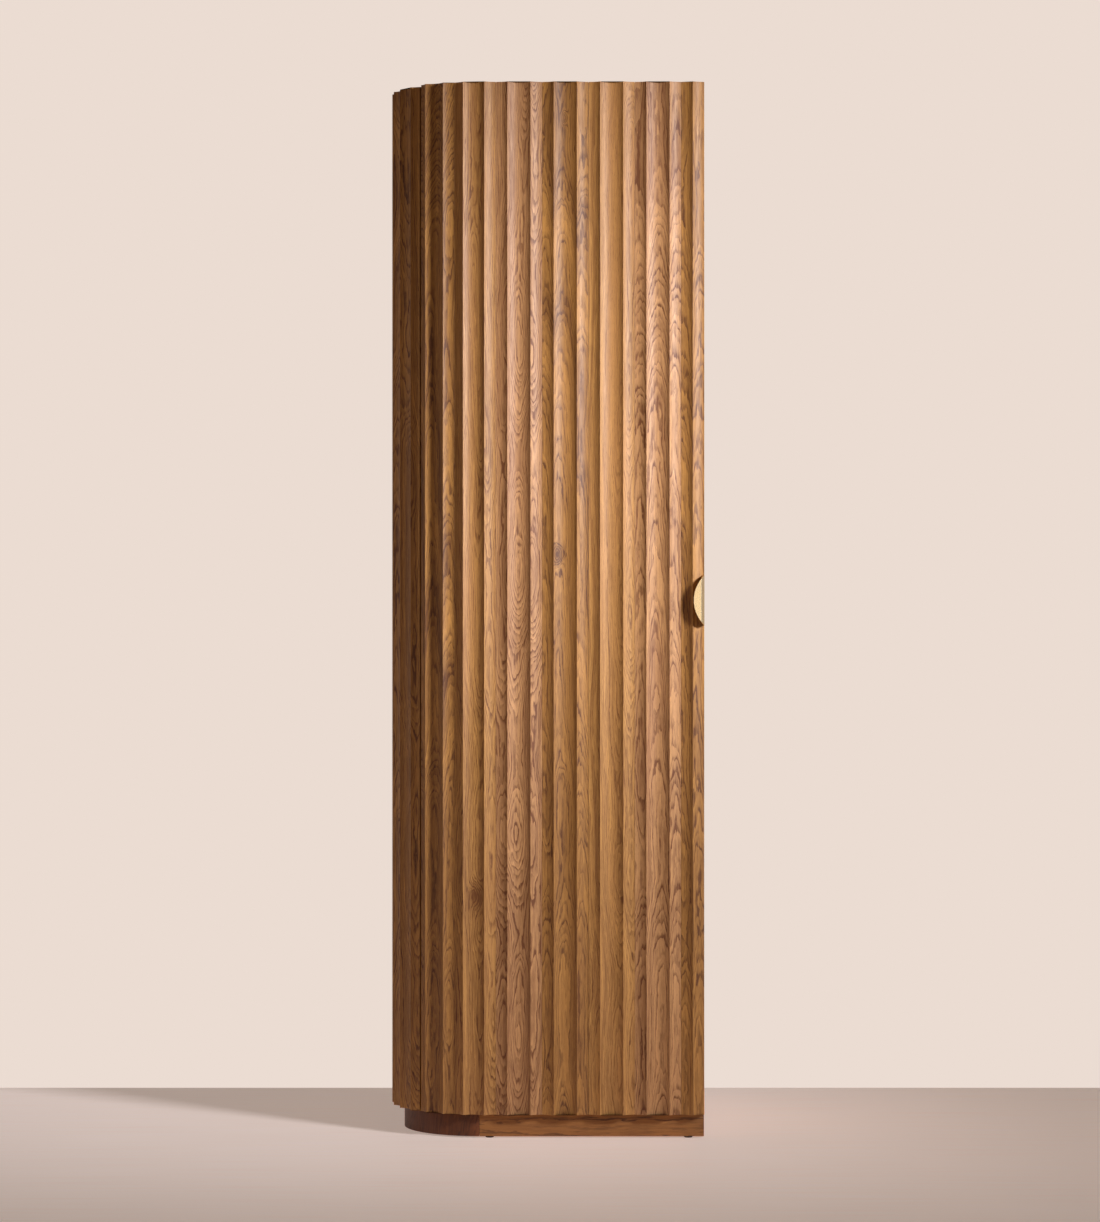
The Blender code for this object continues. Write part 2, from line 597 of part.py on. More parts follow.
def add_plinth():
    """The plinth: four boards and a bent corner, on four glides."""
    front = FRONT_Y + PLINTH_SETBACK
    left = PLINTH_CORNER_X - PLINTH_RADIUS
    back = BACK_Y - PLINTH_BACK_SETBACK
    centre = (PLINTH_CORNER_X, front + PLINTH_RADIUS)
    low, high = PLINTH_BOTTOM, PLINTH_TOP
    inner = (left + PANEL + GAP, RIGHT_X - PANEL - GAP)
    outer_arc = circle(centre, PLINTH_RADIUS, 180, 270, 16)
    inner_arc = circle(centre, PLINTH_RADIUS - PANEL, 270, 180, 12)
    prism("plinth_corner", outer_arc + inner_arc, low, high, DARK_OAK)
    block("plinth_front", (PLINTH_CORNER_X + GAP, front, low), (RIGHT_X, front + PANEL, high), OAK)
    block("plinth_left", (left, centre[1] + GAP, low), (left + PANEL, back, high), DARK_OAK)
    block("plinth_right", (RIGHT_X - PANEL, front + PANEL + GAP, low), (RIGHT_X, back, high), OAK)
    block("plinth_back", (inner[0], back - PANEL, low), (inner[1], back, high), DARK_OAK)
    across = PANEL / 2
    feet = (
        (PLINTH_CORNER_X + FRONT_FOOT_LEFT, front + across),
        (RIGHT_X - FOOT_SETBACK, front + across),
        (left + across, back - FOOT_SETBACK),
        (RIGHT_X - across, back - FOOT_SETBACK),
    )
    for index, foot in enumerate(feet, start=1):
        prism(f"glide_{index}", circle(foot, GLIDE_RADIUS, steps=16), 0, PLINTH_BOTTOM - GAP, PLASTIC)


def add_catches():
    """The magnetic catches on the right side panel, at the top and at the bottom."""
    front = FRONT_Y + SKIN_THICKNESS + GAP + STRIKE_THICKNESS + GAP
    for name, height in (("top", strike_height(True)), ("bottom", strike_height(False))):
        low = Vector((catch_left(), front, height - CATCH_SIZE.z / 2))
        block(f"magnetic_catch_{name}", low, low + CATCH_SIZE, PLASTIC)


def main():
    """Builds the cabinet, with the door's pieces on an empty that stands on the hinge line."""
    clear_scene()
    pivot = bpy.data.objects.new("door_pivot", None)
    bpy.context.collection.objects.link(pivot)
    pivot.location = (PIN_AXIS.x, PIN_AXIS.y, 0)
    add_door(pivot)
    add_side()
    add_hinge_post()
    add_hinge_brackets()
    add_panels()
    add_shelves()
    add_plinth()
    add_catches()


main()
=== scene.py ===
"""The looks of the pantry cabinet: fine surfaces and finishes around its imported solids.

Every wooden piece is a plan outline carried up along Z, with eased edges, and every outline comes from the
same few sizes as the solids: the fluted rim, the gap at the door's hinge edge, the panels and the plinth.
"""

import logging
import math
from dataclasses import dataclass, field
from enum import Enum

import bmesh
import bpy
import numpy as np
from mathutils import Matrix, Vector


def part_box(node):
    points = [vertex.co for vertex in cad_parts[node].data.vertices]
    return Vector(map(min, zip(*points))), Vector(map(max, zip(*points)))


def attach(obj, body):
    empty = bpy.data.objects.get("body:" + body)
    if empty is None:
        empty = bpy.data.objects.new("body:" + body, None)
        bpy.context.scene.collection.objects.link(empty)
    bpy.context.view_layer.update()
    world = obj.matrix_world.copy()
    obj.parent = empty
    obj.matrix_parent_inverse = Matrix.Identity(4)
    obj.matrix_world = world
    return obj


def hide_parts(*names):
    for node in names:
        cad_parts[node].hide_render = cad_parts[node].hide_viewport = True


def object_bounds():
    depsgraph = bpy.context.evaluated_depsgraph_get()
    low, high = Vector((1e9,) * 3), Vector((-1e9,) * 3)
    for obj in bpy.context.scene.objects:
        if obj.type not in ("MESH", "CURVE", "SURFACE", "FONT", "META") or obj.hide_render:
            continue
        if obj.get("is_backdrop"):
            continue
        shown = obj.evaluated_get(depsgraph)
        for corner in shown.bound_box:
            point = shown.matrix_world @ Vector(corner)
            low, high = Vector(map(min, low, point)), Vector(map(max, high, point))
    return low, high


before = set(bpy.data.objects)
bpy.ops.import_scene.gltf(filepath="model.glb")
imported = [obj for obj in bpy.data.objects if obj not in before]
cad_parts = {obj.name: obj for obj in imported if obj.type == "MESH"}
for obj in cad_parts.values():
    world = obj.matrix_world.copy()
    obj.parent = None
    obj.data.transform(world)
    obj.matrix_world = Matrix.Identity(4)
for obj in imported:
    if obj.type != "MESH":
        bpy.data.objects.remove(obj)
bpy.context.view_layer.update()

LOG = logging.getLogger("pantry_cabinet")
MM = 0.001
# The sockets of a Mix node's two colours, which share their names with its other inputs.
MIX_A, MIX_B = 6, 7
# How far a screw's head stands off its seat.
PROUD = 0.02 * MM


class Body(Enum):
    """The two bodies that the door's hinge joins."""

    DOOR = "door"
    CARCASS = "carcass"


class Slot(Enum):
    """The record's material slots."""

    OAK = "oiled_oak"
    VENEER = "oak_veneer"
    # Its colour is painted shade on the plinth's rails that face away from the key lamp.
    DARK_OAK_FOR_PAINTED_SHADE = "dark_oak"
    BRASS = "polished_brass"
    STEEL = "zinc_plated_steel"
    PLASTIC = "black_plastic"


def linear(colour: str) -> tuple[float, float, float, float]:
    """Turns an sRGB hex colour into linear RGBA.

    Args:
        colour: The colour as "#rrggbb".

    Returns:
        Red, green, blue and an alpha of 1, in linear light.
    """
    share = np.array([int(colour[place : place + 2], 16) for place in (1, 3, 5)]) / 255
    light = np.where(share <= 0.04045, share / 12.92, ((share + 0.055) / 1.055) ** 2.4)
    return (*light.tolist(), 1.0)


def feed(node: bpy.types.Node, links: dict | tuple) -> None:
    """Sets a node's inputs.

    Args:
        node: The node.
        links: Input name or index to a plain value, a socket, or a node, which stands for its first output
            in use. A tuple gives the inputs in order.
    """
    for name, value in links.items() if isinstance(links, dict) else enumerate(links):
        if isinstance(value, bpy.types.Node):
            value = next(socket for socket in value.outputs if socket.enabled)
        if isinstance(value, bpy.types.NodeSocket):
            node.id_data.links.new(value, node.inputs[name])
        else:
            node.inputs[name].default_value = value


def add_node(
    tree: bpy.types.NodeTree, kind: str, links: dict | tuple = (), **settings: object
) -> bpy.types.Node:
    """Adds one node with its settings and its incoming links.

    Args:
        tree: The node tree to add to.
        kind: The node's type after "ShaderNode", such as "Math".
        links: The inputs, as feed() takes them.
        **settings: Attributes of the node itself.

    Returns:
        The new node.
    """
    node = tree.nodes.new(f"ShaderNode{kind}")
    for name, value in settings.items():
        setattr(node, name, value)
    feed(node, links)
    return node


def new_tree(name: str) -> tuple[bpy.types.Material, bpy.types.NodeTree, bpy.types.Node]:
    """Makes an empty node material.

    Args:
        name: The material's name.

    Returns:
        The material, its tree and its Principled shader.
    """
    made = bpy.data.materials.new(name)
    made.use_nodes = True
    return made, made.node_tree, made.node_tree.nodes["Principled BSDF"]


@dataclass(frozen=True)
class Oak:
    """Flat-sawn oak, planed and oiled: a satin surface, open pores, and rings cut at a slant.

    The rings are cylinders round a pith line behind the board. The line leans and wanders, so the board's
    face cuts them into long arches, and a milled flute cuts them again into nested points.

    A rate is how often a pattern repeats in a metre along X, Y and the grain. A range holds the two values of
    a pattern between which it acts, and what it gives there.
    """

    light: str
    dark: str
    blush: str = "#c98f6c"
    blush_share: float = 0.35
    contrast: float = 0.66
    tone: float = -0.74
    roughness: float = 0.54
    ring_spacing: float = 2.4 * MM
    pore_width: float = 0.7 * MM
    pore_length: float = 14 * MM
    depth: float = 70 * MM
    side: float = 32 * MM
    lean: float = 0.06
    wander: float = 11 * MM
    drift_rate: tuple[float, ...] = (4.0, 4.0, 2.2)
    ripple_rate: tuple[float, ...] = (110.0, 110.0, 24.0)
    patch_rate: tuple[float, ...] = (22.0, 22.0, 2.2)
    fibre_rate: tuple[float, ...] = (1.3, 260.0, 14.0)
    ripple_rings: float = 1.9
    yearly_rings: float = 1.6
    swirl_rings: float = 5.0
    late_wood: tuple[tuple[float, float], ...] = ((0.08, 1.0), (0.24, 0.9), (0.45, 0.25), (0.80, 0.05))
    strength_range: tuple[float, ...] = (0.36, 0.64, 0.45, 1.2)
    broken_range: tuple[float, ...] = (0.35, 0.62, 0.5, 1.0)
    pore_range: tuple[float, ...] = (0.52, 0.66, 0.0, 1.0)
    blush_range: tuple[float, ...] = (0.42, 0.68, 0.0)
    slot: Slot = Slot.OAK


@dataclass
class BoardFinish:
    """One board's own finish, from where it lay in the log.

    centre is the board's middle in plan, and turn is how far its face is turned about Z from facing the
    front. lying is true where the grain runs along X instead of Z. Each knot is the X, the Z and the size of
    a knot in the board's front. Lengths are in metres and turns in radians.
    """

    oak: Oak
    name: str
    seed: int
    centre: tuple[float, float]
    turn: float
    lying: bool = False
    knots: tuple[tuple[float, float, float], ...] = ()

    def material(self) -> bpy.types.Material:
        """Works out the board's patterns and joins them to its shader.

        Returns:
            The material.
        """
        self.draw = np.random.default_rng(self.seed)
        made, self.tree, shader = new_tree(self.name)
        self.place = add_node(self.tree, "TexCoord").outputs["Object"]
        self.grain = self._grain_space()
        self.swirl = self._knots()
        self.years = self._years()
        self.rings = self._rings()
        self.fibre = self._fibre()
        self.pores = self._pores()
        low, high = self.oak.roughness - 0.05, self.oak.roughness + 0.07
        rough = add_node(self.tree, "MapRange", (self.fibre, 0.3, 0.7, low, high))
        relief = add_node(self.tree, "Math", (self.rings, 0.35), operation="MULTIPLY")
        height = add_node(self.tree, "Math", (relief, self.pores), operation="SUBTRACT")
        bump = add_node(self.tree, "Bump", {"Height": height, "Strength": 0.35, "Distance": 0.25 * MM})
        feed(shader, {"Base Color": self._colour(), "Roughness": rough, "Normal": bump})
        feed(shader, {"IOR": 1.46, "Diffuse Roughness": 0.25})
        return made

    def _uniform(self, low: float, high: float) -> float:
        """Draws the board's next number between low and high."""
        return float(self.draw.uniform(low, high))

    def _either_way(self, low: float, high: float) -> float:
        """Draws the board's next number between low and high, of either sign."""
        return float(self.draw.choice((-1, 1)) * self.draw.uniform(low, high))

    def _grain_space(self) -> bpy.types.Node:
        """Turns object coordinates so that the grain runs along Z and the board's face looks along -Y.

        Returns:
            The node that gives the place in the log.
        """
        moved = add_node(self.tree, "VectorMath", (self.place, (*self.centre, 0.0)), operation="SUBTRACT")
        turn = (0.0, -math.pi / 2, 0.0) if self.lying else (0.0, 0.0, -self.turn)
        turned = add_node(self.tree, "Mapping", {"Vector": moved, "Rotation": turn})
        along = self._uniform(-0.3, 0.3)
        lean = (self._either_way(0.5, 1.3) * self.oak.lean, self._uniform(-1, 1) * self.oak.lean * 0.3, 0.0)
        offset = (self._either_way(0.1, 1.0) * self.oak.side, 0.0, along)
        return add_node(self.tree, "Mapping", {"Vector": turned, "Location": offset, "Rotation": lean})

    def _knots(self) -> bpy.types.Node | float:
        """How close a point is to a knot: exp(-d^2) of its distance in knot sizes, longer up than across.

        Returns:
            The sum over the board's knots, or 0 for a clear board.
        """
        total: bpy.types.Node | float = 0.0
        for x, z, size in self.knots:
            away = add_node(self.tree, "VectorMath", (self.place, (x, 0.0, z)), operation="SUBTRACT")
            sizes = (1 / size, 0.0, 0.45 / size)
            scaled = add_node(self.tree, "VectorMath", (away, sizes), operation="MULTIPLY")
            square = add_node(self.tree, "VectorMath", (scaled, scaled), operation="DOT_PRODUCT")
            near = add_node(self.tree, "Math", (math.exp(-1), square), operation="POWER")
            total = add_node(self.tree, "Math", (near, total), operation="ADD")
        return total

    def _years(self) -> bpy.types.Node:
        """The distance from the wandering pith, in rings, made uneven from year to year and along the grain.

        Returns:
            The node that gives the ring count.
        """
        oak, tree = self.oak, self.tree
        slow = add_node(tree, "VectorMath", (self.grain, oak.drift_rate), operation="MULTIPLY")
        drift = add_node(tree, "TexNoise", {"Vector": slow, "Scale": 1.0, "Detail": 1.5, "Roughness": 0.4})
        centred = add_node(tree, "VectorMath", (drift.outputs["Color"], (0.5, 0.5, 0.5)), operation="SUBTRACT")
        wander = (oak.wander * 5.0, oak.wander * self._uniform(8, 16), 0.0)
        wandered = add_node(tree, "VectorMath", (centred, wander, self.grain), operation="MULTIPLY_ADD")
        pith = (0.0, -oak.depth * self._uniform(0.6, 1.5), 0.0)
        flat = add_node(tree, "VectorMath", (wandered, (1.0, 1.0, 0.0), pith), operation="MULTIPLY_ADD")
        reach = add_node(tree, "VectorMath", (flat,), operation="LENGTH")
        spacing = oak.ring_spacing * self._uniform(0.8, 1.25)
        count = add_node(tree, "Math", (reach, 1 / spacing), operation="MULTIPLY")
        year = add_node(tree, "TexNoise", {"W": count, "Scale": 0.37, "Detail": 1.0}, noise_dimensions="1D")
        yearly = add_node(tree, "Math", (year, oak.yearly_rings, count), operation="MULTIPLY_ADD")
        quick = add_node(tree, "VectorMath", (self.grain, oak.ripple_rate), operation="MULTIPLY")
        ripple = add_node(tree, "TexNoise", {"Vector": quick, "Scale": 1.0, "Detail": 3.0})
        uneven = add_node(tree, "Math", (ripple, oak.ripple_rings, yearly), operation="MULTIPLY_ADD")
        return add_node(tree, "Math", (self.swirl, oak.swirl_rings, uneven), operation="MULTIPLY_ADD")

    def _rings(self) -> bpy.types.Node:
        """Growth rings: a saw-tooth of the ring count, dark where the late wood ends.

        Returns:
            The node that gives the late wood's strength.
        """
        tooth = add_node(self.tree, "Math", (self.years,), operation="FRACT")
        shaped = add_node(self.tree, "ValToRGB", (tooth,))
        shaped.color_ramp.elements[1].color = (0.0, 0.0, 0.0, 1.0)
        for stop, value in self.oak.late_wood:
            shaped.color_ramp.elements.new(stop).color = (value, value, value, 1.0)
        return shaped

    def _fibre(self) -> bpy.types.Node:
        """Fine streaks that follow the rings: noise of the ring count, and of the long grain direction.

        Returns:
            The noise node.
        """
        parts = add_node(self.tree, "SeparateXYZ", (self.grain,))
        space = add_node(self.tree, "CombineXYZ", (self.years, parts.outputs["X"], parts.outputs["Z"]))
        drawn = add_node(self.tree, "VectorMath", (space, self.oak.fibre_rate), operation="MULTIPLY")
        return add_node(self.tree, "TexNoise", {"Vector": drawn, "Scale": 1.0, "Detail": 3.0, "Roughness": 0.6})

    def _pores(self) -> bpy.types.Node:
        """Open pores: short fine streaks along the grain, thickest in the early wood.

        Returns:
            The node that gives the pores' share.
        """
        across, along = 1 / self.oak.pore_width, 1 / self.oak.pore_length
        drawn = add_node(self.tree, "VectorMath", (self.grain, (across, across, along)), operation="MULTIPLY")
        links = {"Vector": drawn, "Scale": 1.0, "Detail": 2.0, "Roughness": 0.6}
        noise = add_node(self.tree, "TexNoise", links)
        share = add_node(self.tree, "MapRange", (noise, *self.oak.pore_range))
        weight = add_node(self.tree, "Math", (self.rings, 0.8, 0.2), operation="MULTIPLY_ADD")
        return add_node(self.tree, "Math", (share, weight), operation="MULTIPLY")

    def _colour(self) -> bpy.types.Node:
        """The base colour, from the rings, the fibre, the pores, the knots and slow changes of tone.

        Returns:
            The node that gives the colour.
        """
        oak, tree = self.oak, self.tree
        broad = add_node(tree, "VectorMath", (self.grain, oak.patch_rate), operation="MULTIPLY")
        patch = add_node(tree, "TexNoise", {"Vector": broad, "Scale": 1.0, "Detail": 3.0})
        slow = {"W": self.years, "Scale": 0.21, "Detail": 3.0}
        quick = {"W": self.years, "Scale": 0.8, "Detail": 1.0}
        ring_tone = add_node(tree, "TexNoise", slow, noise_dimensions="1D")
        uneven = add_node(tree, "TexNoise", quick, noise_dimensions="1D")
        strength = add_node(tree, "MapRange", (uneven, *oak.strength_range))
        tone = self._uniform(-0.10, 0.08) + oak.tone
        knotted = add_node(tree, "Math", (self.swirl, 0.5, tone), operation="MULTIPLY_ADD")
        broken = add_node(tree, "MapRange", (self.fibre, *oak.broken_range))
        weighed = add_node(tree, "Math", (self.rings, strength), operation="MULTIPLY")
        lines = add_node(tree, "Math", (weighed, broken), operation="MULTIPLY")
        contrast = oak.contrast * self._uniform(0.7, 1.2)
        shade = add_node(tree, "Math", (lines, contrast, knotted), operation="MULTIPLY_ADD")
        fibred = add_node(tree, "Math", (self.fibre, 1.15, shade), operation="MULTIPLY_ADD")
        varied = add_node(tree, "Math", (ring_tone, fibred), operation="ADD")
        blushed = add_node(
            tree, "MapRange", (patch, *oak.blush_range, oak.blush_share * self._uniform(0.3, 1.6))
        )
        pored = add_node(tree, "Math", (self.pores, 0.7), operation="MULTIPLY")
        colour = linear(oak.light)
        for share, other in ((varied, oak.dark), (blushed, oak.blush), (pored, oak.dark)):
            colour = add_node(tree, "Mix", {0: share, MIX_A: colour, MIX_B: linear(other)}, data_type="RGBA")
        return colour


@dataclass(frozen=True)
class Brass:
    """Pale brass plate, buffed and lacquered: a soft mirror with faint buffing lines."""

    colour: str = "#f0dcb4"
    roughness: float = 0.24
    line: float = 0.6 * MM
    lines_along: float = 18.0

    def material(self, name: str) -> bpy.types.Material:
        """Makes the brass material.

        Args:
            name: The material's name.

        Returns:
            The material.
        """
        made, tree, shader = new_tree(name)
        place = add_node(tree, "TexCoord").outputs["Object"]
        rate = (1 / self.line, 1 / self.line, self.lines_along)
        drawn = add_node(tree, "VectorMath", (place, rate), operation="MULTIPLY")
        noise = add_node(tree, "TexNoise", {"Vector": drawn, "Scale": 1.0, "Detail": 2.0})
        rough = add_node(tree, "MapRange", (noise, 0.0, 1.0, self.roughness - 0.05, self.roughness + 0.09))
        bump = add_node(tree, "Bump", {"Height": noise, "Strength": 0.05, "Distance": 0.05 * MM})
        feed(shader, {"Base Color": linear(self.colour), "Metallic": 1.0, "Roughness": rough, "Normal": bump})
        return made


@dataclass(frozen=True)
class Plated:
    """Zinc-plated steel: a cool grey metal with a fine cloudy spangle."""

    colour: str = "#b9bcbd"
    roughness: float = 0.34
    spangle: float = 3 * MM

    def material(self, name: str) -> bpy.types.Material:
        """Makes the plated steel material.

        Args:
            name: The material's name.

        Returns:
            The material.
        """
        made, tree, shader = new_tree(name)
        place = add_node(tree, "TexCoord").outputs["Object"]
        noise = add_node(tree, "TexNoise", {"Vector": place, "Scale": 1 / self.spangle, "Detail": 3.0})
        rough = add_node(tree, "MapRange", (noise, 0.0, 1.0, self.roughness - 0.08, self.roughness + 0.12))
        feed(shader, {"Base Color": linear(self.colour), "Metallic": 1.0, "Roughness": rough})
        return made


@dataclass(frozen=True)
class Moulded:
    """Black ABS, moulded with a fine spark-eroded grain."""

    colour: str = "#1c1b1a"
    roughness: float = 0.48
    grain: float = 0.5 * MM

    def material(self, name: str) -> bpy.types.Material:
        """Makes the moulded plastic material.

        Args:
            name: The material's name.

        Returns:
            The material.
        """
        made, tree, shader = new_tree(name)
        place = add_node(tree, "TexCoord").outputs["Object"]
        noise = add_node(tree, "TexNoise", {"Vector": place, "Scale": 1 / self.grain, "Detail": 2.0})
        bump = add_node(tree, "Bump", {"Height": noise, "Strength": 0.25, "Distance": 0.05 * MM})
        feed(shader, {"Base Color": linear(self.colour), "Roughness": self.roughness, "Normal": bump})
        return made


def outward_offset(outline: np.ndarray, inset: float) -> np.ndarray:
    """Moves a closed anticlockwise outline inwards by inset, mitred at its corners.

    Each point moves along the sum of its two edges' normals, scaled so that both edges move by inset. The
    mitre is limited to twice the inset, so a sharp cusp doesn't run away.

    Args:
        outline: The (n, 2) points, in metres.
        inset: How far every edge moves in, in metres.

    Returns:
        The moved (n, 2) points.
    """
    before = outline - np.roll(outline, 1, axis=0)
    after = np.roll(outline, -1, axis=0) - outline
    normals = []
    for edge in (before, after):
        length = np.maximum(np.linalg.norm(edge, axis=1, keepdims=True), 1e-9)
        normals.append(np.column_stack((-edge[:, 1], edge[:, 0])) / length)
    total = normals[0] + normals[1]
    scale = 2 / np.maximum(np.sum(total**2, axis=1, keepdims=True), 1.0)
    return outline + total * scale * inset


def eased_corners(outline: np.ndarray, radius: float, sharper_than: float = 25.0, steps: int = 3) -> np.ndarray:
    """Rounds the corners of a closed outline.

    A corner that turns by more than sharper_than degrees is replaced by a quadratic curve that starts and
    ends at radius along its two edges, or at 0.45 of a shorter edge.

    Args:
        outline: The (n, 2) points, in metres.
        radius: The distance from a corner at which the rounding starts, in metres.
        sharper_than: The turn, in degrees, from which a corner is rounded.
        steps: The number of segments in each rounded corner.

    Returns:
        The points of the eased outline.
    """
    before = np.roll(outline, 1, axis=0) - outline
    after = np.roll(outline, -1, axis=0) - outline
    len_before = np.linalg.norm(before, axis=1)
    len_after = np.linalg.norm(after, axis=1)
    cosine = np.sum(before * after, axis=1) / np.maximum(len_before * len_after, 1e-12)
    turn = 180 - np.degrees(np.arccos(np.clip(cosine, -1, 1)))
    points = []
    share = np.linspace(0, 1, steps + 1)[:, None]
    for index in range(len(outline)):
        if turn[index] < sharper_than:
            points.append(outline[index][None])
            continue
        start = outline[index] + before[index] * min(radius / len_before[index], 0.45)
        end = outline[index] + after[index] * min(radius / len_after[index], 0.45)
        points.append((1 - share) ** 2 * start + 2 * share * (1 - share) * outline[index] + share**2 * end)
    return np.concatenate(points)


def anticlockwise(outline: np.ndarray) -> np.ndarray:
    """Turns an outline round if it runs clockwise, by the sign of its area.

    Args:
        outline: The (n, 2) points, in metres.

    Returns:
        The points in anticlockwise order.
    """
    following = np.roll(outline, -1, axis=0)
    area = np.sum(outline[:, 0] * following[:, 1] - outline[:, 1] * following[:, 0])
    return outline if area > 0 else outline[::-1]


def add_object(name: str, data: bpy.types.ID) -> bpy.types.Object:
    """Puts a mesh, a lamp or a camera into the scene.

    Args:
        name: The object's name.
        data: What it shows.

    Returns:
        The object, at the origin.
    """
    made = bpy.data.objects.new(name, data)
    bpy.context.scene.collection.objects.link(made)
    return made


def add_bevel(piece: bpy.types.Object, width: float, sharper_than: float) -> None:
    """Eases the edges of a piece that turn by more than sharper_than degrees, with a live Bevel modifier.

    Args:
        piece: The mesh object.
        width: The bevel's width, in metres.
        sharper_than: The turn, in degrees, from which an edge is eased.
    """
    bevel = piece.modifiers.new("eased_edges", "BEVEL")
    bevel.width = width
    bevel.segments = 2
    bevel.limit_method = "ANGLE"
    bevel.angle_limit = math.radians(sharper_than)


def put_mesh(name: str, points: np.ndarray, faces: list, smooth_angle: float = 32.0) -> bpy.types.Object:
    """Makes a mesh object at the origin from arrays of points and faces.

    Args:
        name: The object's name.
        points: The (n, 3) points, in metres.
        faces: Lists or arrays of point indices.
        smooth_angle: Edges sharper than this, in degrees, stay sharp.

    Returns:
        The object.
    """
    mesh = bpy.data.meshes.new(name)
    mesh.from_pydata(points.tolist(), [], faces)
    mesh.validate()
    mesh.shade_smooth()
    mesh.set_sharp_from_angle(angle=math.radians(smooth_angle))
    return add_object(name, mesh)


def ring_faces(rings: int, count: int) -> np.ndarray:
    """Quads between neighbouring rings of points, facing out when the rings rise and run anticlockwise.

    Args:
        rings: The number of rings.
        count: The number of points in each ring.

    Returns:
        The (n, 4) point indices.
    """
    index = np.arange(rings * count).reshape(rings, count)
    right = np.roll(index, -1, axis=1)
    quads = np.stack((index[:-1], right[:-1], right[1:], index[1:]), axis=-1)
    return quads.reshape(-1, 4)


def carried_up(
    name: str, outline: np.ndarray, low: float, high: float, ease: float = 0.7 * MM
) -> bpy.types.Object:
    """A solid with eased arrises: a plan outline carried up from low to high.

    The rings at each end follow a quarter circle: the inset is ease times (1 - sin a) and the height from the
    end is ease times (1 - cos a), for a from 0 to 90 degrees.

    Args:
        name: The object's name.
        outline: The plan outline, in metres, in either direction.
        low: The height of the foot.
        high: The height of the top.
        ease: The radius of the rounded edge at the foot and the top.

    Returns:
        The object.
    """
    outline = anticlockwise(outline)
    angle = np.linspace(0, math.pi / 2, 4 if ease else 1)
    insets = ease * (1 - np.sin(angle))
    heights = ease * (1 - np.cos(angle))
    profile = [(inset, low + rise) for inset, rise in zip(insets, heights)]
    profile += [(inset, high - rise) for inset, rise in zip(insets[::-1], heights[::-1])]
    rings = []
    for inset, height in profile:
        plan = outward_offset(outline, inset)
        rings.append(np.column_stack((plan, np.full(len(plan), height))))
    count = len(outline)
    faces = ring_faces(len(rings), count).tolist()
    faces.append(list(range(count))[::-1])
    faces.append(list(range((len(rings) - 1) * count, len(rings) * count)))
    return put_mesh(name, np.concatenate(rings), faces)


def softened(node: str, width: float) -> bpy.types.Object:
    """A copy of a solid with its loose triangles merged, its flat faces joined and its edges bevelled.

    Args:
        node: The solid's name.
        width: The bevel's width, in metres.

    Returns:
        The new object, with a live Bevel modifier.
    """
    shape = bmesh.new()
    shape.from_mesh(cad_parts[node].data)
    bmesh.ops.remove_doubles(shape, verts=shape.verts, dist=0.005 * MM)
    bmesh.ops.dissolve_limit(shape, angle_limit=math.radians(1), verts=shape.verts, edges=shape.edges)
    mesh = bpy.data.meshes.new(f"{node}_fine")
    shape.to_mesh(mesh)
    shape.free()
    mesh.shade_smooth()
    mesh.set_sharp_from_angle(angle=math.radians(30))
    made = add_object(f"{node}_fine", mesh)
    add_bevel(made, width, 35)
    return made


def cut(piece: bpy.types.Object, cutters: list[bpy.types.Object]) -> None:
    """Cuts the cutters out of a piece, keeps the result as the piece's own mesh and removes the cutters.

    Args:
        piece: The mesh object to cut.
        cutters: The closed mesh objects to take away from it.
    """
    for cutter in cutters:
        modifier = piece.modifiers.new(cutter.name, "BOOLEAN")
        modifier.operation = "DIFFERENCE"
        modifier.solver = "EXACT"
        modifier.object = cutter
    evaluated = piece.evaluated_get(bpy.context.evaluated_depsgraph_get())
    finished = bpy.data.meshes.new_from_object(evaluated)
    piece.modifiers.clear()
    piece.data = finished
    for cutter in cutters:
        bpy.data.objects.remove(cutter)


def rectangle(low: tuple[float, float], high: tuple[float, float]) -> np.ndarray:
    """The plan outline of a rectangle between two corners."""
    return np.array([(low[0], low[1]), (high[0], low[1]), (high[0], high[1]), (low[0], high[1])])


def arc(centre: np.ndarray, radius: float, start: float, end: float, steps: int) -> np.ndarray:
    """Plan points on an arc, with angles in degrees anticlockwise from +X."""
    angle = np.radians(np.linspace(start, end, steps + 1))
    return np.asarray(centre) + radius * np.column_stack((np.cos(angle), np.sin(angle)))


def dress(
    piece: bpy.types.Object, body: Body, slot: Slot, finish: bpy.types.Material, *nodes: str
) -> bpy.types.Object:
    """Gives a piece its finish, its body and the solids that it stands for.

    Args:
        piece: The finished mesh object.
        body: The body it moves with.
        slot: The record's slot that its finish belongs to. It is not used.
        finish: Its material.
        *nodes: The solids that it replaces.

    Returns:
        The piece.
    """
    piece.data.materials.clear()
    piece.data.materials.append(finish)
    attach(piece, body.value)
    if nodes:
        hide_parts(*nodes)
    LOG.info("%s rides on %s: %d faces", piece.name, body.value, len(piece.data.polygons))
    return piece


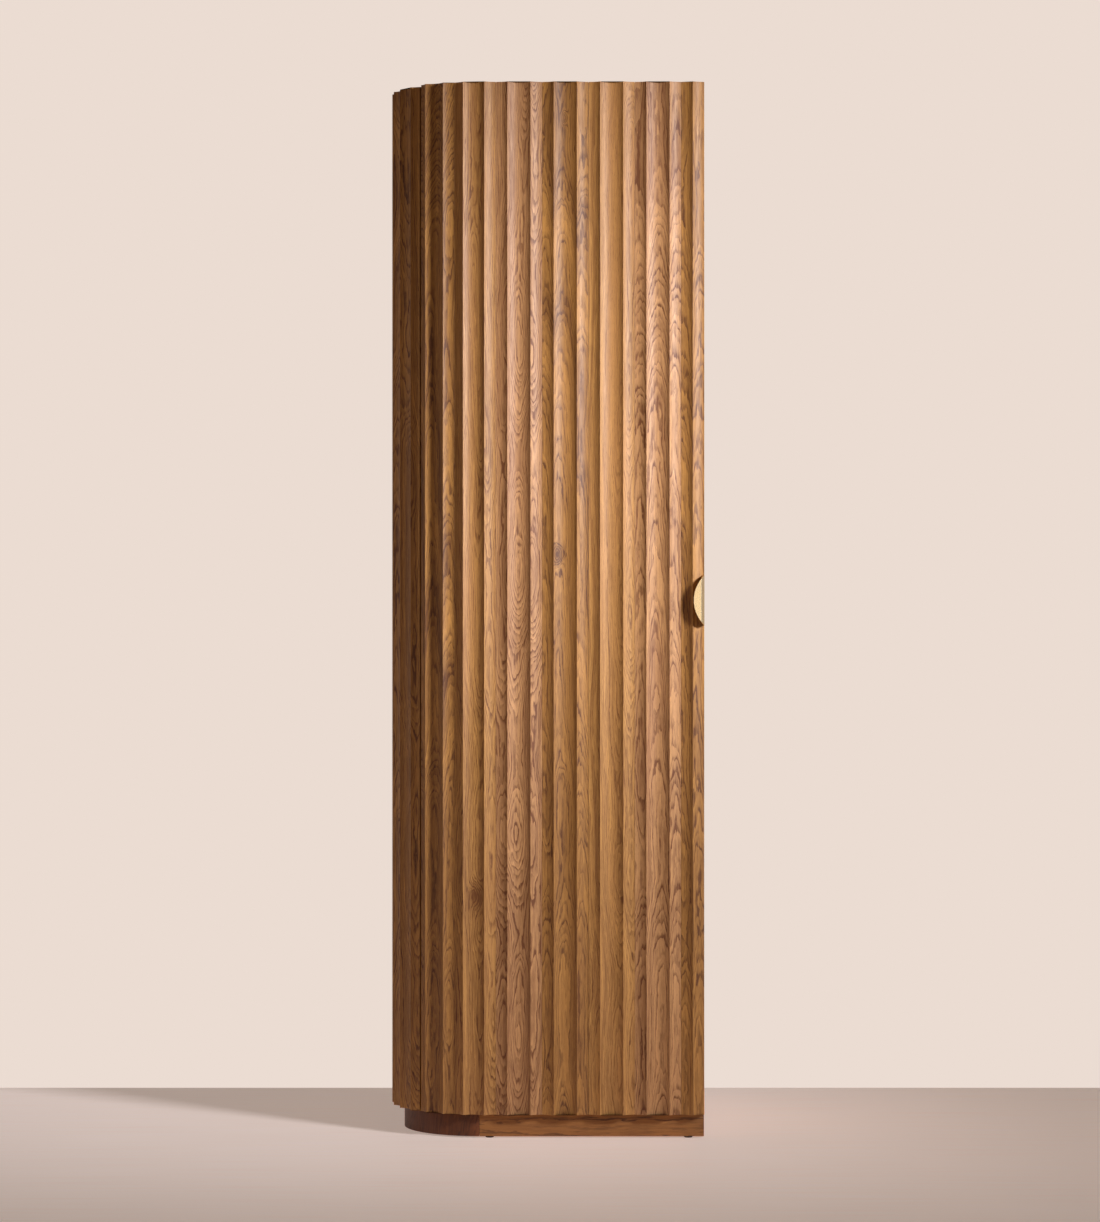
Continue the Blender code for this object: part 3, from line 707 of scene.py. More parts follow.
@dataclass
class FlutedRim:
    """The plan line that the skin follows, numbered in flutes from the front's left end.

    Flute 0 is the cusp where the flat front starts. Positive numbers run right, and negative ones round the
    corner and back along the left side.
    """

    left: float
    right: float
    front: float
    corner_radius: float = 185 * MM
    corner_flutes: int = 7
    straight_flutes: float = 9.5
    flute_depth: float = 8.5 * MM
    corner_flute_depth: float = 7.9 * MM
    stave: float = 22 * MM
    core: float = 9 * MM
    gap: float = 0.3 * MM
    pin_depth: float = 4 * MM
    pin_from_gap: float = 10 * MM
    door_edge: float = 9 * MM
    cove_radius: float = 13.5 * MM
    steps: int = 28

    def __post_init__(self) -> None:
        """Works out the sizes that follow from the fields."""
        self.pitch = (self.right - self.left - self.corner_radius) / self.straight_flutes
        self.flute_angle = math.pi / 2 / self.corner_flutes
        self.centre = np.array((self.left + self.corner_radius, self.front + self.corner_radius))
        self.skin = self.stave + self.core
        self.split = -self.corner_flutes / 2
        half = math.sqrt(0.5)
        self.outwards = np.array((-half, -half))
        self.along = np.array((half, -half))
        valley = self.corner_radius * math.cos(self.flute_angle / 2) - self.corner_flute_depth
        self.pin_reach = valley - self.pin_depth
        self.pin = self.centre + self.outwards * self.pin_reach + self.along * self.pin_from_gap
        self.side_edge = math.sqrt(self.cove_radius**2 - self.pin_depth**2)

    def line(self, flute: np.ndarray, inset: float = 0.0) -> np.ndarray:
        """Points on the line through the cusps, moved inwards by inset.

        The front and the side are straight. Between them the line is an arc round the corner's centre.

        Args:
            flute: The flute numbers, whole or not.
            inset: How far behind the cusps the line lies, in metres.

        Returns:
            The (n, 2) plan points.
        """
        flute = np.atleast_1d(np.asarray(flute, float))
        angle = -flute * self.flute_angle
        reach = self.corner_radius - inset
        bent = self.centre - reach * np.column_stack((np.sin(angle), np.cos(angle)))
        level = np.ones(len(flute))
        ahead = np.column_stack((self.centre[0] + flute * self.pitch, level * (self.front + inset)))
        behind = -self.corner_flutes - flute
        beside = np.column_stack((level * (self.left + inset), self.centre[1] + behind * self.pitch))
        straight = np.where(flute[:, None] >= 0, ahead, beside)
        in_corner = (flute < 0) & (flute >= -self.corner_flutes)
        return np.where(in_corner[:, None], bent, straight)

    def surface(self, flute: np.ndarray) -> np.ndarray:
        """Points on the fluted face: between two cusps, an arc of circle hung from their chord.

        The arc's radius is (h^2 + d^2) / 2d for half chord h and depth d.

        Args:
            flute: The flute numbers, whole or not.

        Returns:
            The (n, 2) plan points.
        """
        flute = np.atleast_1d(np.asarray(flute, float))
        first = np.floor(flute + 1e-9)
        share = (flute - first)[:, None]
        start = self.line(first)
        chord = self.line(first + 1) - start
        length = np.linalg.norm(chord, axis=1, keepdims=True)
        half = length / 2
        in_corner = (first < 0) & (first >= -self.corner_flutes)
        depth = np.where(in_corner, self.corner_flute_depth, self.flute_depth)[:, None]
        radius = (half**2 + depth**2) / (2 * depth)
        across = (2 * share - 1) * half
        hollow = np.sqrt(radius**2 - across**2) - (radius - depth)
        inwards = np.column_stack((-chord[:, 1], chord[:, 0])) / length
        return start + chord * share + inwards * hollow

    def at_pin(self, along: float, out: float) -> np.ndarray:
        """The plan point at an offset from the hinge line, along the gap's tangent and outwards."""
        return self.pin + self.along * along + self.outwards * out

    def edge_arc(self, radius: float, edge: float, inset: float) -> np.ndarray:
        """A rounded hinge edge, outside to inside: an arc about the pin, then square to the skin.

        Args:
            radius: The arc's radius.
            edge: How far from the pin the square part lies, along the gap's tangent.
            inset: How far behind the cusps it ends.

        Returns:
            The (n, 2) plan points.
        """
        corner = math.atan2(self.pin_depth, -edge)
        angle = np.linspace(corner, 2 * math.pi - corner, 25)
        offsets = radius * np.column_stack((np.cos(angle), np.sin(angle)))
        bent = self.pin + offsets[:, :1] * self.along + offsets[:, 1:] * self.outwards
        foot = self.at_pin(-edge, self.corner_radius - inset - self.pin_reach)
        return np.vstack((bent, foot))

    def stave_outline(self, start: float, end: float) -> np.ndarray:
        """The plan outline of a stave between two flute numbers, with its hinge edge where the door parts.

        Args:
            start: The lower flute number.
            end: The higher flute number.

        Returns:
            The closed outline's (n, 2) points.
        """
        joint = self.gap / 2 / self.pitch
        stops = np.arange(math.floor(start * self.steps) + 1, math.ceil(end * self.steps)) / self.steps
        nose = math.hypot(self.door_edge, self.pin_depth)
        if start == self.split:
            low = self.edge_arc(nose, self.door_edge, self.stave)
            stops = stops[stops > start + 0.06]
        else:
            at = start if start == -self.corner_flutes - self.straight_flutes else start + joint
            low = np.vstack((self.surface(at), self.line(at, self.stave)))
        if end == self.split:
            high = self.edge_arc(self.cove_radius, self.side_edge, self.stave)
            stops = stops[stops < end - 0.08]
        else:
            at = end if end == self.straight_flutes else end - joint
            high = np.vstack((self.surface(at), self.line(at, self.stave)))
        inner = self.line(stops[:: self.steps // 4], self.stave)
        return np.vstack((low[::-1], self.surface(stops), high, inner[::-1]))

    def facing(self, flute: float) -> float:
        """How far the skin is turned about Z from facing the front at a flute number, in radians."""
        return -float(np.clip(-flute * self.flute_angle, 0, math.pi / 2))


@dataclass
class Skin:
    """One run of glued staves on its bent core."""

    rim: FlutedRim
    body: Body
    prefix: str
    edges: list[float]
    foot: float
    top: float
    boards: list[Oak]
    seed: int
    knots: dict[int, tuple[tuple[float, float, float], ...]] = field(default_factory=dict)

    def build(self) -> list[bpy.types.Object]:
        """Makes each stave as a board with its own grain, numbered from the door's hinge edge.

        Returns:
            The stave objects, in order.
        """
        made = []
        for index, (first, second) in enumerate(zip(self.edges, self.edges[1:]), start=1):
            start, end = min(first, second), max(first, second)
            outline = eased_corners(self.rim.stave_outline(start, end), 0.4 * MM)
            name = f"{self.prefix}_stave_{index}"
            piece = carried_up(f"{name}_fine", outline, self.foot, self.top, 0.8 * MM)
            middle = (start + end) / 2
            centre = tuple(self.rim.line(middle, self.rim.flute_depth)[0].tolist())
            finish = BoardFinish(
                oak=self.boards[(index - 1) % len(self.boards)],
                name=f"oiled_oak_{name}",
                seed=self.seed + index,
                centre=centre,
                turn=self.rim.facing(middle),
                knots=self.knots.get(index, ()),
            )
            made.append(dress(piece, self.body, Slot.OAK, finish.material(), name))
        return made

    def build_core(self, veneer: Oak) -> bpy.types.Object:
        """Makes the bent plywood core behind the staves.

        Args:
            veneer: The oak of its faces.

        Returns:
            The core's object.
        """
        low, high = min(self.edges), max(self.edges)
        outer = self.rim.stave + self.rim.gap
        stops = np.arange(math.floor(low * 4) + 1, math.ceil(high * 4)) / 4
        stops = stops[(stops >= -self.rim.corner_flutes) & (stops <= 0)]
        ends = []
        for end, edge in ((low, self.rim.door_edge), (high, self.rim.side_edge)):
            if end == self.rim.split:
                reach = self.rim.corner_radius - self.rim.pin_reach
                ends.append([self.rim.at_pin(-edge, reach - inset) for inset in (outer, self.rim.skin)])
            else:
                ends.append([self.rim.line(end, inset)[0] for inset in (outer, self.rim.skin)])
        stops = stops[np.abs(stops - self.rim.split) > 0.2]
        outline = np.vstack(
            (ends[0][::-1], self.rim.line(stops, outer), ends[1], self.rim.line(stops, self.rim.skin)[::-1])
        )
        node = f"{self.prefix}_core"
        piece = carried_up(f"{node}_fine", eased_corners(outline, 0.4 * MM), self.foot, self.top, 0.4 * MM)
        middle = (low + high) / 2
        centre = tuple(self.rim.line(middle, self.rim.skin)[0].tolist())
        finish = BoardFinish(veneer, f"oak_veneer_{node}", self.seed + 50, centre, self.rim.facing(middle))
        return dress(piece, self.body, Slot.VENEER, finish.material(), node)


@dataclass
class Screw:
    """A countersunk screw head with a cross recess, in a node's place or on a fitting."""

    head: float = 3.4 * MM
    recess_arm: float = 0.42 * MM
    recess_reach: float = 2.0 * MM
    recess_depth: float = 1.1 * MM
    cone: float = 2.0 * MM
    slot: Slot = Slot.STEEL

    def build(
        self, name: str, place: np.ndarray, facing: np.ndarray, body: Body, metal: bpy.types.Material
    ) -> None:
        """Makes a head whose flat lies at place and looks along facing.

        The face is a polar grid. Its depth is the recess's depth times a smooth step across a cross of two
        arms, tapering towards the reach. Behind it a cone runs back to half the head's radius.

        Args:
            name: The object's name.
            place: The middle of the flat face, in metres.
            facing: The unit direction that the face looks along.
            body: The body it moves with.
            metal: Its material.
        """
        radius = np.linspace(0, self.head, 22)[1:]
        angle = np.linspace(0, 2 * math.pi, 65)[:-1]
        across, up = radius[:, None] * np.cos(angle), radius[:, None] * np.sin(angle)
        nearer = np.minimum(np.abs(across), np.abs(up))
        further = np.maximum(np.abs(across), np.abs(up))
        side = np.clip((self.recess_arm * 1.5 - nearer) / self.recess_arm, 0, 1)
        end = np.clip((self.recess_reach - further) / (self.recess_reach * 0.5), 0, 1)
        sunk = -self.recess_depth * side * side * (3 - 2 * side) * end
        edge = np.where(radius > self.head - 0.25 * MM, -0.12 * MM, 0.0)[:, None]
        rings = np.stack((across, up, sunk + edge), axis=-1).reshape(-1, 3)
        skirt = np.column_stack(
            (0.5 * self.head * np.cos(angle), 0.5 * self.head * np.sin(angle), np.full(len(angle), -self.cone))
        )
        local = np.vstack((rings, skirt, [(0.0, 0.0, -self.recess_depth)]))
        normal = np.asarray(facing, float)
        level = np.cross((0.0, 0.0, 1.0), normal)
        level = level / np.linalg.norm(level) if np.linalg.norm(level) > 1e-6 else np.array((1.0, 0.0, 0.0))
        axes = np.vstack((level, np.cross(normal, level), normal))
        count = len(angle)
        faces = ring_faces(len(radius) + 1, count)[:, ::-1].tolist()
        hub = len(local) - 1
        turn = np.arange(count)
        faces += np.column_stack((np.full(count, hub), turn, np.roll(turn, -1))).tolist()
        faces.append((np.arange(count) + len(radius) * count)[::-1].tolist())
        piece = put_mesh(name, local @ axes + np.asarray(place), faces, 40)
        dress(piece, body, self.slot, metal)


@dataclass
class Pull:
    """The half-moon pull: brass plate folded back over the door's right edge, held by two screws."""

    rim: FlutedRim
    height: float
    projection: float
    circle: float = 66.5 * MM
    reach: float = 21 * MM
    fold: float = 5.8 * MM
    fold_depth: float = 9.5 * MM
    plate: float = 1.6 * MM
    flange_end: float = 21.2 * MM
    bend: float = 1.2 * MM
    screw_spacing: float = 56 * MM

    def section(self) -> np.ndarray:
        """The plate's outer face in plan, from the lip's tip to the flange's end, with its bends rounded."""
        lip = self.rim.front - self.projection
        right = self.rim.right
        end = self.rim.front + self.flange_end
        closed = np.array(
            [
                (right - self.reach, lip),
                (right - self.fold, lip),
                (right, lip + self.fold_depth),
                (right, end),
                (right - self.reach, end),
            ]
        )
        bends = eased_corners(closed, self.bend, 20.0, 6)
        keep = (bends[:, 0] > right - self.reach + 2 * self.bend) & (bends[:, 1] < end - 2 * self.bend)
        return np.vstack((closed[0], bends[keep], closed[3]))

    def build(self, metal: bpy.types.Material) -> None:
        """Makes the plate: rows up its height, columns along its folded section.

        Each row starts where the half-moon's circle crosses the section, so the edge is a true arc.

        Args:
            metal: The plate's and the screws' material.
        """
        path = self.section()
        travel = np.concatenate(([0.0], np.cumsum(np.linalg.norm(np.diff(path, axis=0), axis=1))))
        turn_in = int(np.argmax(path[:, 0] > self.rim.right - 1e-6))
        centre_x = self.rim.right - self.reach + self.circle
        half_chord = math.sqrt(self.circle**2 - (centre_x - self.rim.right) ** 2)
        rows = np.sin(np.linspace(-math.pi / 2, math.pi / 2, 73)) * half_chord
        edge_x = centre_x - np.sqrt(self.circle**2 - rows**2)
        start = np.interp(edge_x, path[: turn_in + 1, 0], travel[: turn_in + 1])
        stops = np.unique(np.concatenate((np.linspace(0, travel[-1], 50), travel)))
        along = np.maximum(stops[None], start[:, None])
        outer = np.stack([np.interp(along, travel, path[:, axis]) for axis in (0, 1)], axis=-1)
        step = np.gradient(path, travel, axis=0)
        step /= np.linalg.norm(step, axis=1, keepdims=True)
        inwards = np.stack([np.interp(along, travel, turned) for turned in (-step[:, 1], step[:, 0])], axis=-1)
        inwards /= np.linalg.norm(inwards, axis=-1, keepdims=True)
        heights = np.broadcast_to(rows[:, None, None] + self.height, (*along.shape, 1))
        sheets = [np.concatenate((face, heights), axis=-1) for face in (outer, outer + inwards * self.plate)]
        index = np.arange(along.size).reshape(along.shape)
        quads = np.stack((index[:-1, :-1], index[:-1, 1:], index[1:, 1:], index[1:, :-1]), axis=-1)
        quads = quads.reshape(-1, 4)
        border = np.concatenate((index[0, :-1], index[:-1, -1], index[-1, :0:-1], index[:0:-1, 0]))
        following = np.roll(border, -1)
        walls = np.column_stack((following, border, border + index.size, following + index.size))
        faces = np.vstack((quads, quads[:, ::-1] + index.size, walls))
        points = np.vstack([sheet.reshape(-1, 3) for sheet in sheets])
        piece = put_mesh("pull_fine", points, faces.tolist(), 40)
        shape = bmesh.new()
        shape.from_mesh(piece.data)
        bmesh.ops.remove_doubles(shape, verts=shape.verts, dist=0.02 * MM)
        bmesh.ops.recalc_face_normals(shape, faces=shape.faces)
        shape.to_mesh(piece.data)
        shape.free()
        piece.data.set_sharp_from_angle(angle=math.radians(40))
        add_bevel(piece, 0.3 * MM, 50)
        dress(piece, Body.DOOR, Slot.BRASS, metal, "pull", "pull_screw_1", "pull_screw_2")
        screw_y = self.rim.front + (self.rim.flute_depth + self.rim.stave) / 2
        for index, side in enumerate((1, -1), start=1):
            place = np.array((self.rim.right - PROUD, screw_y, self.height + side * self.screw_spacing / 2))
            screw = Screw(slot=Slot.BRASS)
            screw.build(f"pull_screw_head_{index}", place, np.array((1.0, 0.0, 0.0)), Body.DOOR, metal)

    def rebate(self) -> bpy.types.Object:
        """The cutter for the plate's rebate in the door's edge."""
        half = math.sqrt(self.circle**2 - (self.circle - self.reach) ** 2) + self.rim.gap
        low = (self.rim.right - self.plate - self.rim.gap, self.rim.front - MM)
        high = (self.rim.right + MM, self.rim.front + self.flange_end + self.rim.gap)
        return carried_up("cut_rebate", rectangle(low, high), self.height - half, self.height + half, 0.0)


@dataclass
class Hinges:
    """The three pin hinges: forked blocks in the door's edge, and flanged brackets on the post."""

    rim: FlutedRim
    heights: tuple[float, ...] = (0.205, 1.041, 1.880)
    mortise_top: float = 3.2 * MM
    mortise_edge: float = 13 * MM
    mortise_past: float = 14 * MM
    screw_rise: float = 14 * MM
    block_end: float = 16 * MM
    block_inside: float = 18.5 * MM
    block_height: float = 10 * MM
    flange_far: float = 10.8 * MM
    flange_middle: float = 34 * MM

    def mortises(self) -> list[bpy.types.Object]:
        """The cutters for the blocks' pockets in the door's hinge edge."""
        reach = self.block_height / 2 + self.rim.gap
        edge, end = -self.mortise_edge, self.block_end + self.rim.gap
        bottom = -self.block_inside - self.mortise_past
        corners = ((edge, self.mortise_top), (end, self.mortise_top), (end, bottom), (edge, bottom))
        outline = np.array([self.rim.at_pin(*corner) for corner in corners])
        return [
            carried_up(f"cut_mortise_{height:.3f}", outline, height - reach, height + reach, 0.0)
            for height in self.heights
        ]

    def build(self, metal: bpy.types.Material) -> None:
        """Dresses the steel solids and puts two screws in each bracket's flange.

        Args:
            metal: The hinges' and the screws' material.
        """
        fine = 0.15 * MM
        parts = (("bracket", Body.CARCASS, 2 * fine), ("door_block", Body.DOOR, fine), ("pin", Body.DOOR, fine))
        flat = self.rim.at_pin(self.flange_far + PROUD, -self.flange_middle)
        facing = np.array((*self.rim.along, 0.0))
        screw = Screw(head=3.0 * MM, cone=1.2 * MM)
        for index, height in enumerate(self.heights, start=1):
            for part, body, ease in parts:
                node = f"hinge_{index}_{part}"
                dress(softened(node, ease), body, Slot.STEEL, metal, node)
            for name, side in (("upper", 1), ("lower", -1)):
                place = np.array((*flat, height + side * self.screw_rise))
                screw.build(f"hinge_{index}_{name}_screw_head", place, facing, Body.CARCASS, metal)


@dataclass
class Catches:
    """The magnetic catches on the right side panel and their strike plates on the door."""

    pole_width: float = 2.2 * MM
    pole_apart: float = 6 * MM
    pole_length: float = 26 * MM
    pole_deep: float = 3 * MM
    pole_proud: float = 0.2 * MM
    screw_apart: float = 32 * MM
    screw_back: float = 3 * MM

    def build(self, plastic: bpy.types.Material, metal: bpy.types.Material) -> None:
        """Dresses the cases and plates, and adds two steel poles and two screws to each case.

        Args:
            plastic: The cases' material.
            metal: The plates', poles' and screws' material.
        """
        for end in ("top", "bottom"):
            case, plate = f"magnetic_catch_{end}", f"strike_plate_{end}"
            dress(softened(case, 1.0 * MM), Body.CARCASS, Slot.PLASTIC, plastic, case)
            dress(softened(plate, 0.3 * MM), Body.DOOR, Slot.STEEL, metal, plate)
            low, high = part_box(case)
            middle = (low + high) / 2
            half_width, half_length = self.pole_width / 2, self.pole_length / 2
            screw = Screw(head=2.6 * MM, cone=1.0 * MM, recess_reach=1.6 * MM)
            for index, side in enumerate((-1, 1), start=1):
                across = middle.x + side * self.pole_apart / 2
                near, far = low.y - self.pole_proud, low.y + self.pole_deep
                outline = rectangle((across - half_width, near), (across + half_width, far))
                outline = eased_corners(outline, 0.4 * MM)
                foot, top = middle.z - half_length, middle.z + half_length
                pole = carried_up(f"{case}_pole_{index}", outline, foot, top, 0.3 * MM)
                dress(pole, Body.CARCASS, Slot.STEEL, metal)
            for index, side in enumerate((-1, 1), start=1):
                rise = side * self.screw_apart / 2
                place = np.array((low.x - PROUD, middle.y + self.screw_back, middle.z + rise))
                facing = np.array((-1.0, 0.0, 0.0))
                screw.build(f"{case}_screw_head_{index}", place, facing, Body.CARCASS, metal)


@dataclass
class Carcass:
    """The panels, shelves, cleats, hinge post and plinth behind the skin."""

    rim: FlutedRim
    oak: Oak
    veneer: Oak
    # dark is painted shade: the much darker oak of the plinth's rails that face away from the key lamp.
    dark: Oak
    base: Oak
    shelves: int = 4
    panel: float = 18 * MM
    side_panel: float = 20 * MM
    door_gap: float = 2.2 * MM
    corner_door_gap: float = 4.2 * MM
    shelf_gap: float = 1.0 * MM
    shelf_corner: float = 124 * MM
    plinth_radius: float = 150 * MM
    post: tuple[float, ...] = (8 * MM, 42 * MM, 13.5 * MM, 22.5 * MM, 46 * MM)

    def board(
        self,
        node: str,
        outline: np.ndarray,
        finish: Oak,
        seed: int,
        turn: float,
        lying: bool = False,
        ease: float = 0.7 * MM,
    ) -> None:
        """Makes one board from a plan outline, at its solid's heights.

        Args:
            node: The solid it stands for.
            outline: Its plan outline, in metres.
            finish: Its oak.
            seed: Its board's seed.
            turn: How far its face is turned about Z from facing the front, in radians.
            lying: True if its grain runs along X.
            ease: The rounding of its edges, in metres.
        """
        low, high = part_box(node)
        piece = carried_up(f"{node}_fine", eased_corners(outline, ease), low.z, high.z, ease)
        middle = (low + high) / 2
        made = BoardFinish(finish, f"{finish.slot.value}_{node}", seed, (middle.x, middle.y), turn, lying)
        dress(piece, Body.CARCASS, finish.slot, made.material(), node)

    def box_board(self, node: str, finish: Oak, seed: int, turn: float = 0.0, lying: bool = False) -> None:
        """Makes a board that is a plain box in plan."""
        low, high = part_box(node)
        self.board(node, rectangle((low.x, low.y), (high.x, high.y)), finish, seed, turn, lying)

    def panel_outline(self) -> np.ndarray:
        """The plan outline of the top and bottom panels, with their round left front corner."""
        inset = self.rim.skin + self.rim.gap
        front = self.rim.skin + self.door_gap
        corner = self.rim.skin + self.corner_door_gap
        right = self.rim.right - self.side_panel - self.rim.gap
        _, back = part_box("top_panel")
        parting = self.rim.split - 0.13
        beside = np.append(np.linspace(-self.rim.corner_flutes, -4, 25), parting)
        ahead = np.append(parting, np.linspace(-3.25, -0.5, 23))
        return np.vstack(
            (
                [(self.rim.left + inset, back.y)],
                self.rim.line(beside, inset),
                self.rim.line(ahead, corner),
                self.rim.line(0, front),
                [(right, self.rim.front + front), (right, back.y)],
            )
        )

    def shelf_outline(self) -> np.ndarray:
        """The plan outline of a shelf, cut off at the corner to clear the hinge post."""
        low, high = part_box("shelf_1")
        reach = math.sqrt(0.5) * self.shelf_corner
        meet = self.rim.centre - reach
        inset = self.rim.skin + self.shelf_gap
        turn = math.pi / 4 + math.acos(self.shelf_corner / (self.rim.corner_radius - inset))
        beside = np.linspace(-self.rim.corner_flutes, -turn / self.rim.flute_angle, 9)
        return np.vstack(
            (
                [(low.x, high.y)],
                self.rim.line(beside, inset),
                [(meet[0] + meet[1] - low.y, low.y), (high.x, low.y), (high.x, high.y)],
            )
        )

    def post_outline(self) -> np.ndarray:
        """The plan outline of the hinge post, curved behind the skin and stepped for the door's blocks."""
        side, left, step, front, back = self.post
        reach = self.rim.corner_radius - self.rim.skin - self.rim.gap
        along = np.linspace(-left, -step, 19)
        out = np.sqrt(reach**2 - (along + self.rim.pin_from_gap) ** 2) - self.rim.pin_reach
        corners = [(side, -front), (side, -back), (-left, -back), *zip(along, out), (-step, -front)]
        return np.array([self.rim.at_pin(*corner) for corner in corners])

    def build(self) -> None:
        """Makes every board of the carcass."""
        self.box_board("right_side_panel", self.veneer, 301, math.pi / 2)
        self.box_board("back_panel", self.veneer, 302, math.pi)
        outline = self.panel_outline()
        for index, node in enumerate(("top_panel", "bottom_panel")):
            self.board(node, outline, self.veneer, 310 + index, 0.0, True, 0.5 * MM)
        outline = self.shelf_outline()
        for index in range(1, self.shelves + 1):
            self.board(f"shelf_{index}", outline, self.veneer, 320 + index, 0.0, True, 1.2 * MM)
            for side in ("left", "right"):
                self.box_board(f"shelf_{index}_{side}_cleat", self.oak, 330 + index, math.pi / 2)
        self.board("hinge_post", self.post_outline(), self.oak, 340, -math.pi / 4)
        self.box_board("plinth_front", self.base, 351, 0.0, True)
        self.box_board("plinth_right", self.base, 352, math.pi / 2)
        # Painted shade: the left, back and corner rails, which face away from the key lamp, take the much
        # darker oak, while the front and right rails keep the lighter base oak.
        self.box_board("plinth_left", self.dark, 353, math.pi / 2)
        self.box_board("plinth_back", self.dark, 354, 0.0, True)
        low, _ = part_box("plinth_corner")
        centre = (low.x + self.plinth_radius, low.y + self.plinth_radius)
        outer = arc(centre, self.plinth_radius, 180, 270, 48)
        inner = arc(centre, self.plinth_radius - self.panel, 270, 180, 48)
        self.board("plinth_corner", np.vstack((outer, inner)), self.dark, 355, -math.pi / 4)

    def build_glides(self, plastic: bpy.types.Material) -> None:
        """Makes the four round glides under the plinth."""
        for index in range(1, 5):
            node = f"glide_{index}"
            low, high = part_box(node)
            middle = (low + high) / 2
            outline = arc((middle.x, middle.y), (high.x - low.x) / 2, 0, 360, 48)[:-1]
            piece = carried_up(f"{node}_fine", outline, low.z, high.z, 0.8 * MM)
            dress(piece, Body.CARCASS, Slot.PLASTIC, plastic, node)


@dataclass
class Studio:
    """The plain floor, the soft lights and the camera.

    A lamp is its name, its place, the point it looks at, its width, its power in watts, its colour and its
    spread in degrees. A range holds a pattern's two ends, where its colour starts and where it is full.
    """

    camera_place: tuple[float, ...] = (0.007, -7.632, 1.125)
    lens: float = 112.0
    rise: float = -0.0445
    floor_half: float = 7.0
    floor_front: float = -10.0
    floor_back: float = 0.42
    floor_rate: tuple[float, ...] = (3.0, 60.0, 1.0)
    floor_colours: tuple[str, ...] = ("#e4cec1", "#f1ddd1")
    floor_glow: float = 0.43
    horizon_range: tuple[float, ...] = (0.15, 0.22)
    front_range: tuple[float, ...] = (-0.3, 0.5)
    pale_side: tuple[float, ...] = (-0.35, 0.8, 0.0)
    pale_colour: str = "#ebdcd2"
    front_colour: str = "#7b6650"
    high_colour: str = "#281f16"
    lamps: tuple[tuple, ...] = (
        ("key", (3.42, -3.18, 2.75), (0.0, -0.25, 1.24), 0.8, 22, "#edf3ff", 38),
        ("fill", (-3.6, -4.4, 1.8), (0.0, 0.0, 1.2), 2.5, 1.2, "#ffc898", 180),
        ("brass_card", (0.75, -8.6, 0.95), (0.3, -0.31, 1.04), 1.6, 16, "#fff1dc", 180),
    )

    def build(self) -> None:
        """Makes the floor, the world, the lights and the camera."""
        self._floor()
        self._world()
        for lamp in self.lamps:
            self._lamp(*lamp)
        data = bpy.data.cameras.new("camera")
        data.lens = self.lens
        data.sensor_width = 36.0
        data.shift_y = self.rise
        camera = add_object("camera", data)
        camera.location = self.camera_place
        camera.rotation_euler = (math.radians(90), 0.0, 0.0)
        bpy.context.scene.camera = camera
        bpy.context.scene.view_settings.view_transform = "Standard"

    def _floor(self) -> None:
        """A matt pale floor that ends a little behind the cabinet, level with its glides' feet."""
        plan = rectangle((-self.floor_half, self.floor_front), (self.floor_half, self.floor_back))
        floor = put_mesh("floor", np.column_stack((plan, np.zeros(len(plan)))), [[0, 1, 2, 3]])
        made, tree, shader = new_tree("pale_lime_washed_boards")
        place = add_node(tree, "TexCoord").outputs["Object"]
        drawn = add_node(tree, "VectorMath", (place, self.floor_rate), operation="MULTIPLY")
        noise = add_node(tree, "TexNoise", {"Vector": drawn, "Scale": 1.0, "Detail": 4.0})
        darker, lighter = linear(self.floor_colours[0]), linear(self.floor_colours[1])
        tint = add_node(tree, "Mix", {0: noise, MIX_A: darker, MIX_B: lighter}, data_type="RGBA")
        feed(shader, {"Base Color": tint, "Emission Color": tint, "Emission Strength": self.floor_glow})
        feed(shader, {"Roughness": 0.6})
        floor.data.materials.append(made)
        floor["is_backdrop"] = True

    def _world(self) -> None:
        """Pale light round the horizon, greyer towards the front, and dimmer light from above and below."""
        world = bpy.data.worlds.new("studio")
        world.use_nodes = True
        tree = world.node_tree
        way = add_node(tree, "TexCoord").outputs["Generated"]
        height = add_node(tree, "SeparateXYZ", (way,)).outputs["Z"]
        share = add_node(tree, "MapRange", (height, *self.horizon_range))
        facing = add_node(tree, "VectorMath", (way, self.pale_side), operation="DOT_PRODUCT")
        front = add_node(tree, "MapRange", (facing, *self.front_range))
        colour = linear(self.front_colour)
        for part, other in ((front, self.pale_colour), (share, self.high_colour)):
            colour = add_node(tree, "Mix", {0: part, MIX_A: colour, MIX_B: linear(other)}, data_type="RGBA")
        feed(tree.nodes["Background"], {"Color": colour})
        bpy.context.scene.world = world

    def _lamp(
        self, name: str, place: tuple, target: tuple, size: float, power: float, colour: str, spread: float
    ) -> None:
        """Puts a square area lamp at place, turned towards target.

        Args:
            name: The lamp's name.
            place: Where it stands, in metres.
            target: The point it looks at, in metres.
            size: Its width, in metres.
            power: Its power, in watts.
            colour: Its sRGB hex colour.
            spread: The angle of its beam, in degrees.
        """
        data = bpy.data.lights.new(name, "AREA")
        data.size = size
        data.energy = power
        data.spread = math.radians(spread)
        data.color = linear(colour)[:3]
        lamp = add_object(name, data)
        lamp.location = place
        lamp.rotation_euler = (Vector(target) - Vector(place)).to_track_quat("-Z", "Y").to_euler()


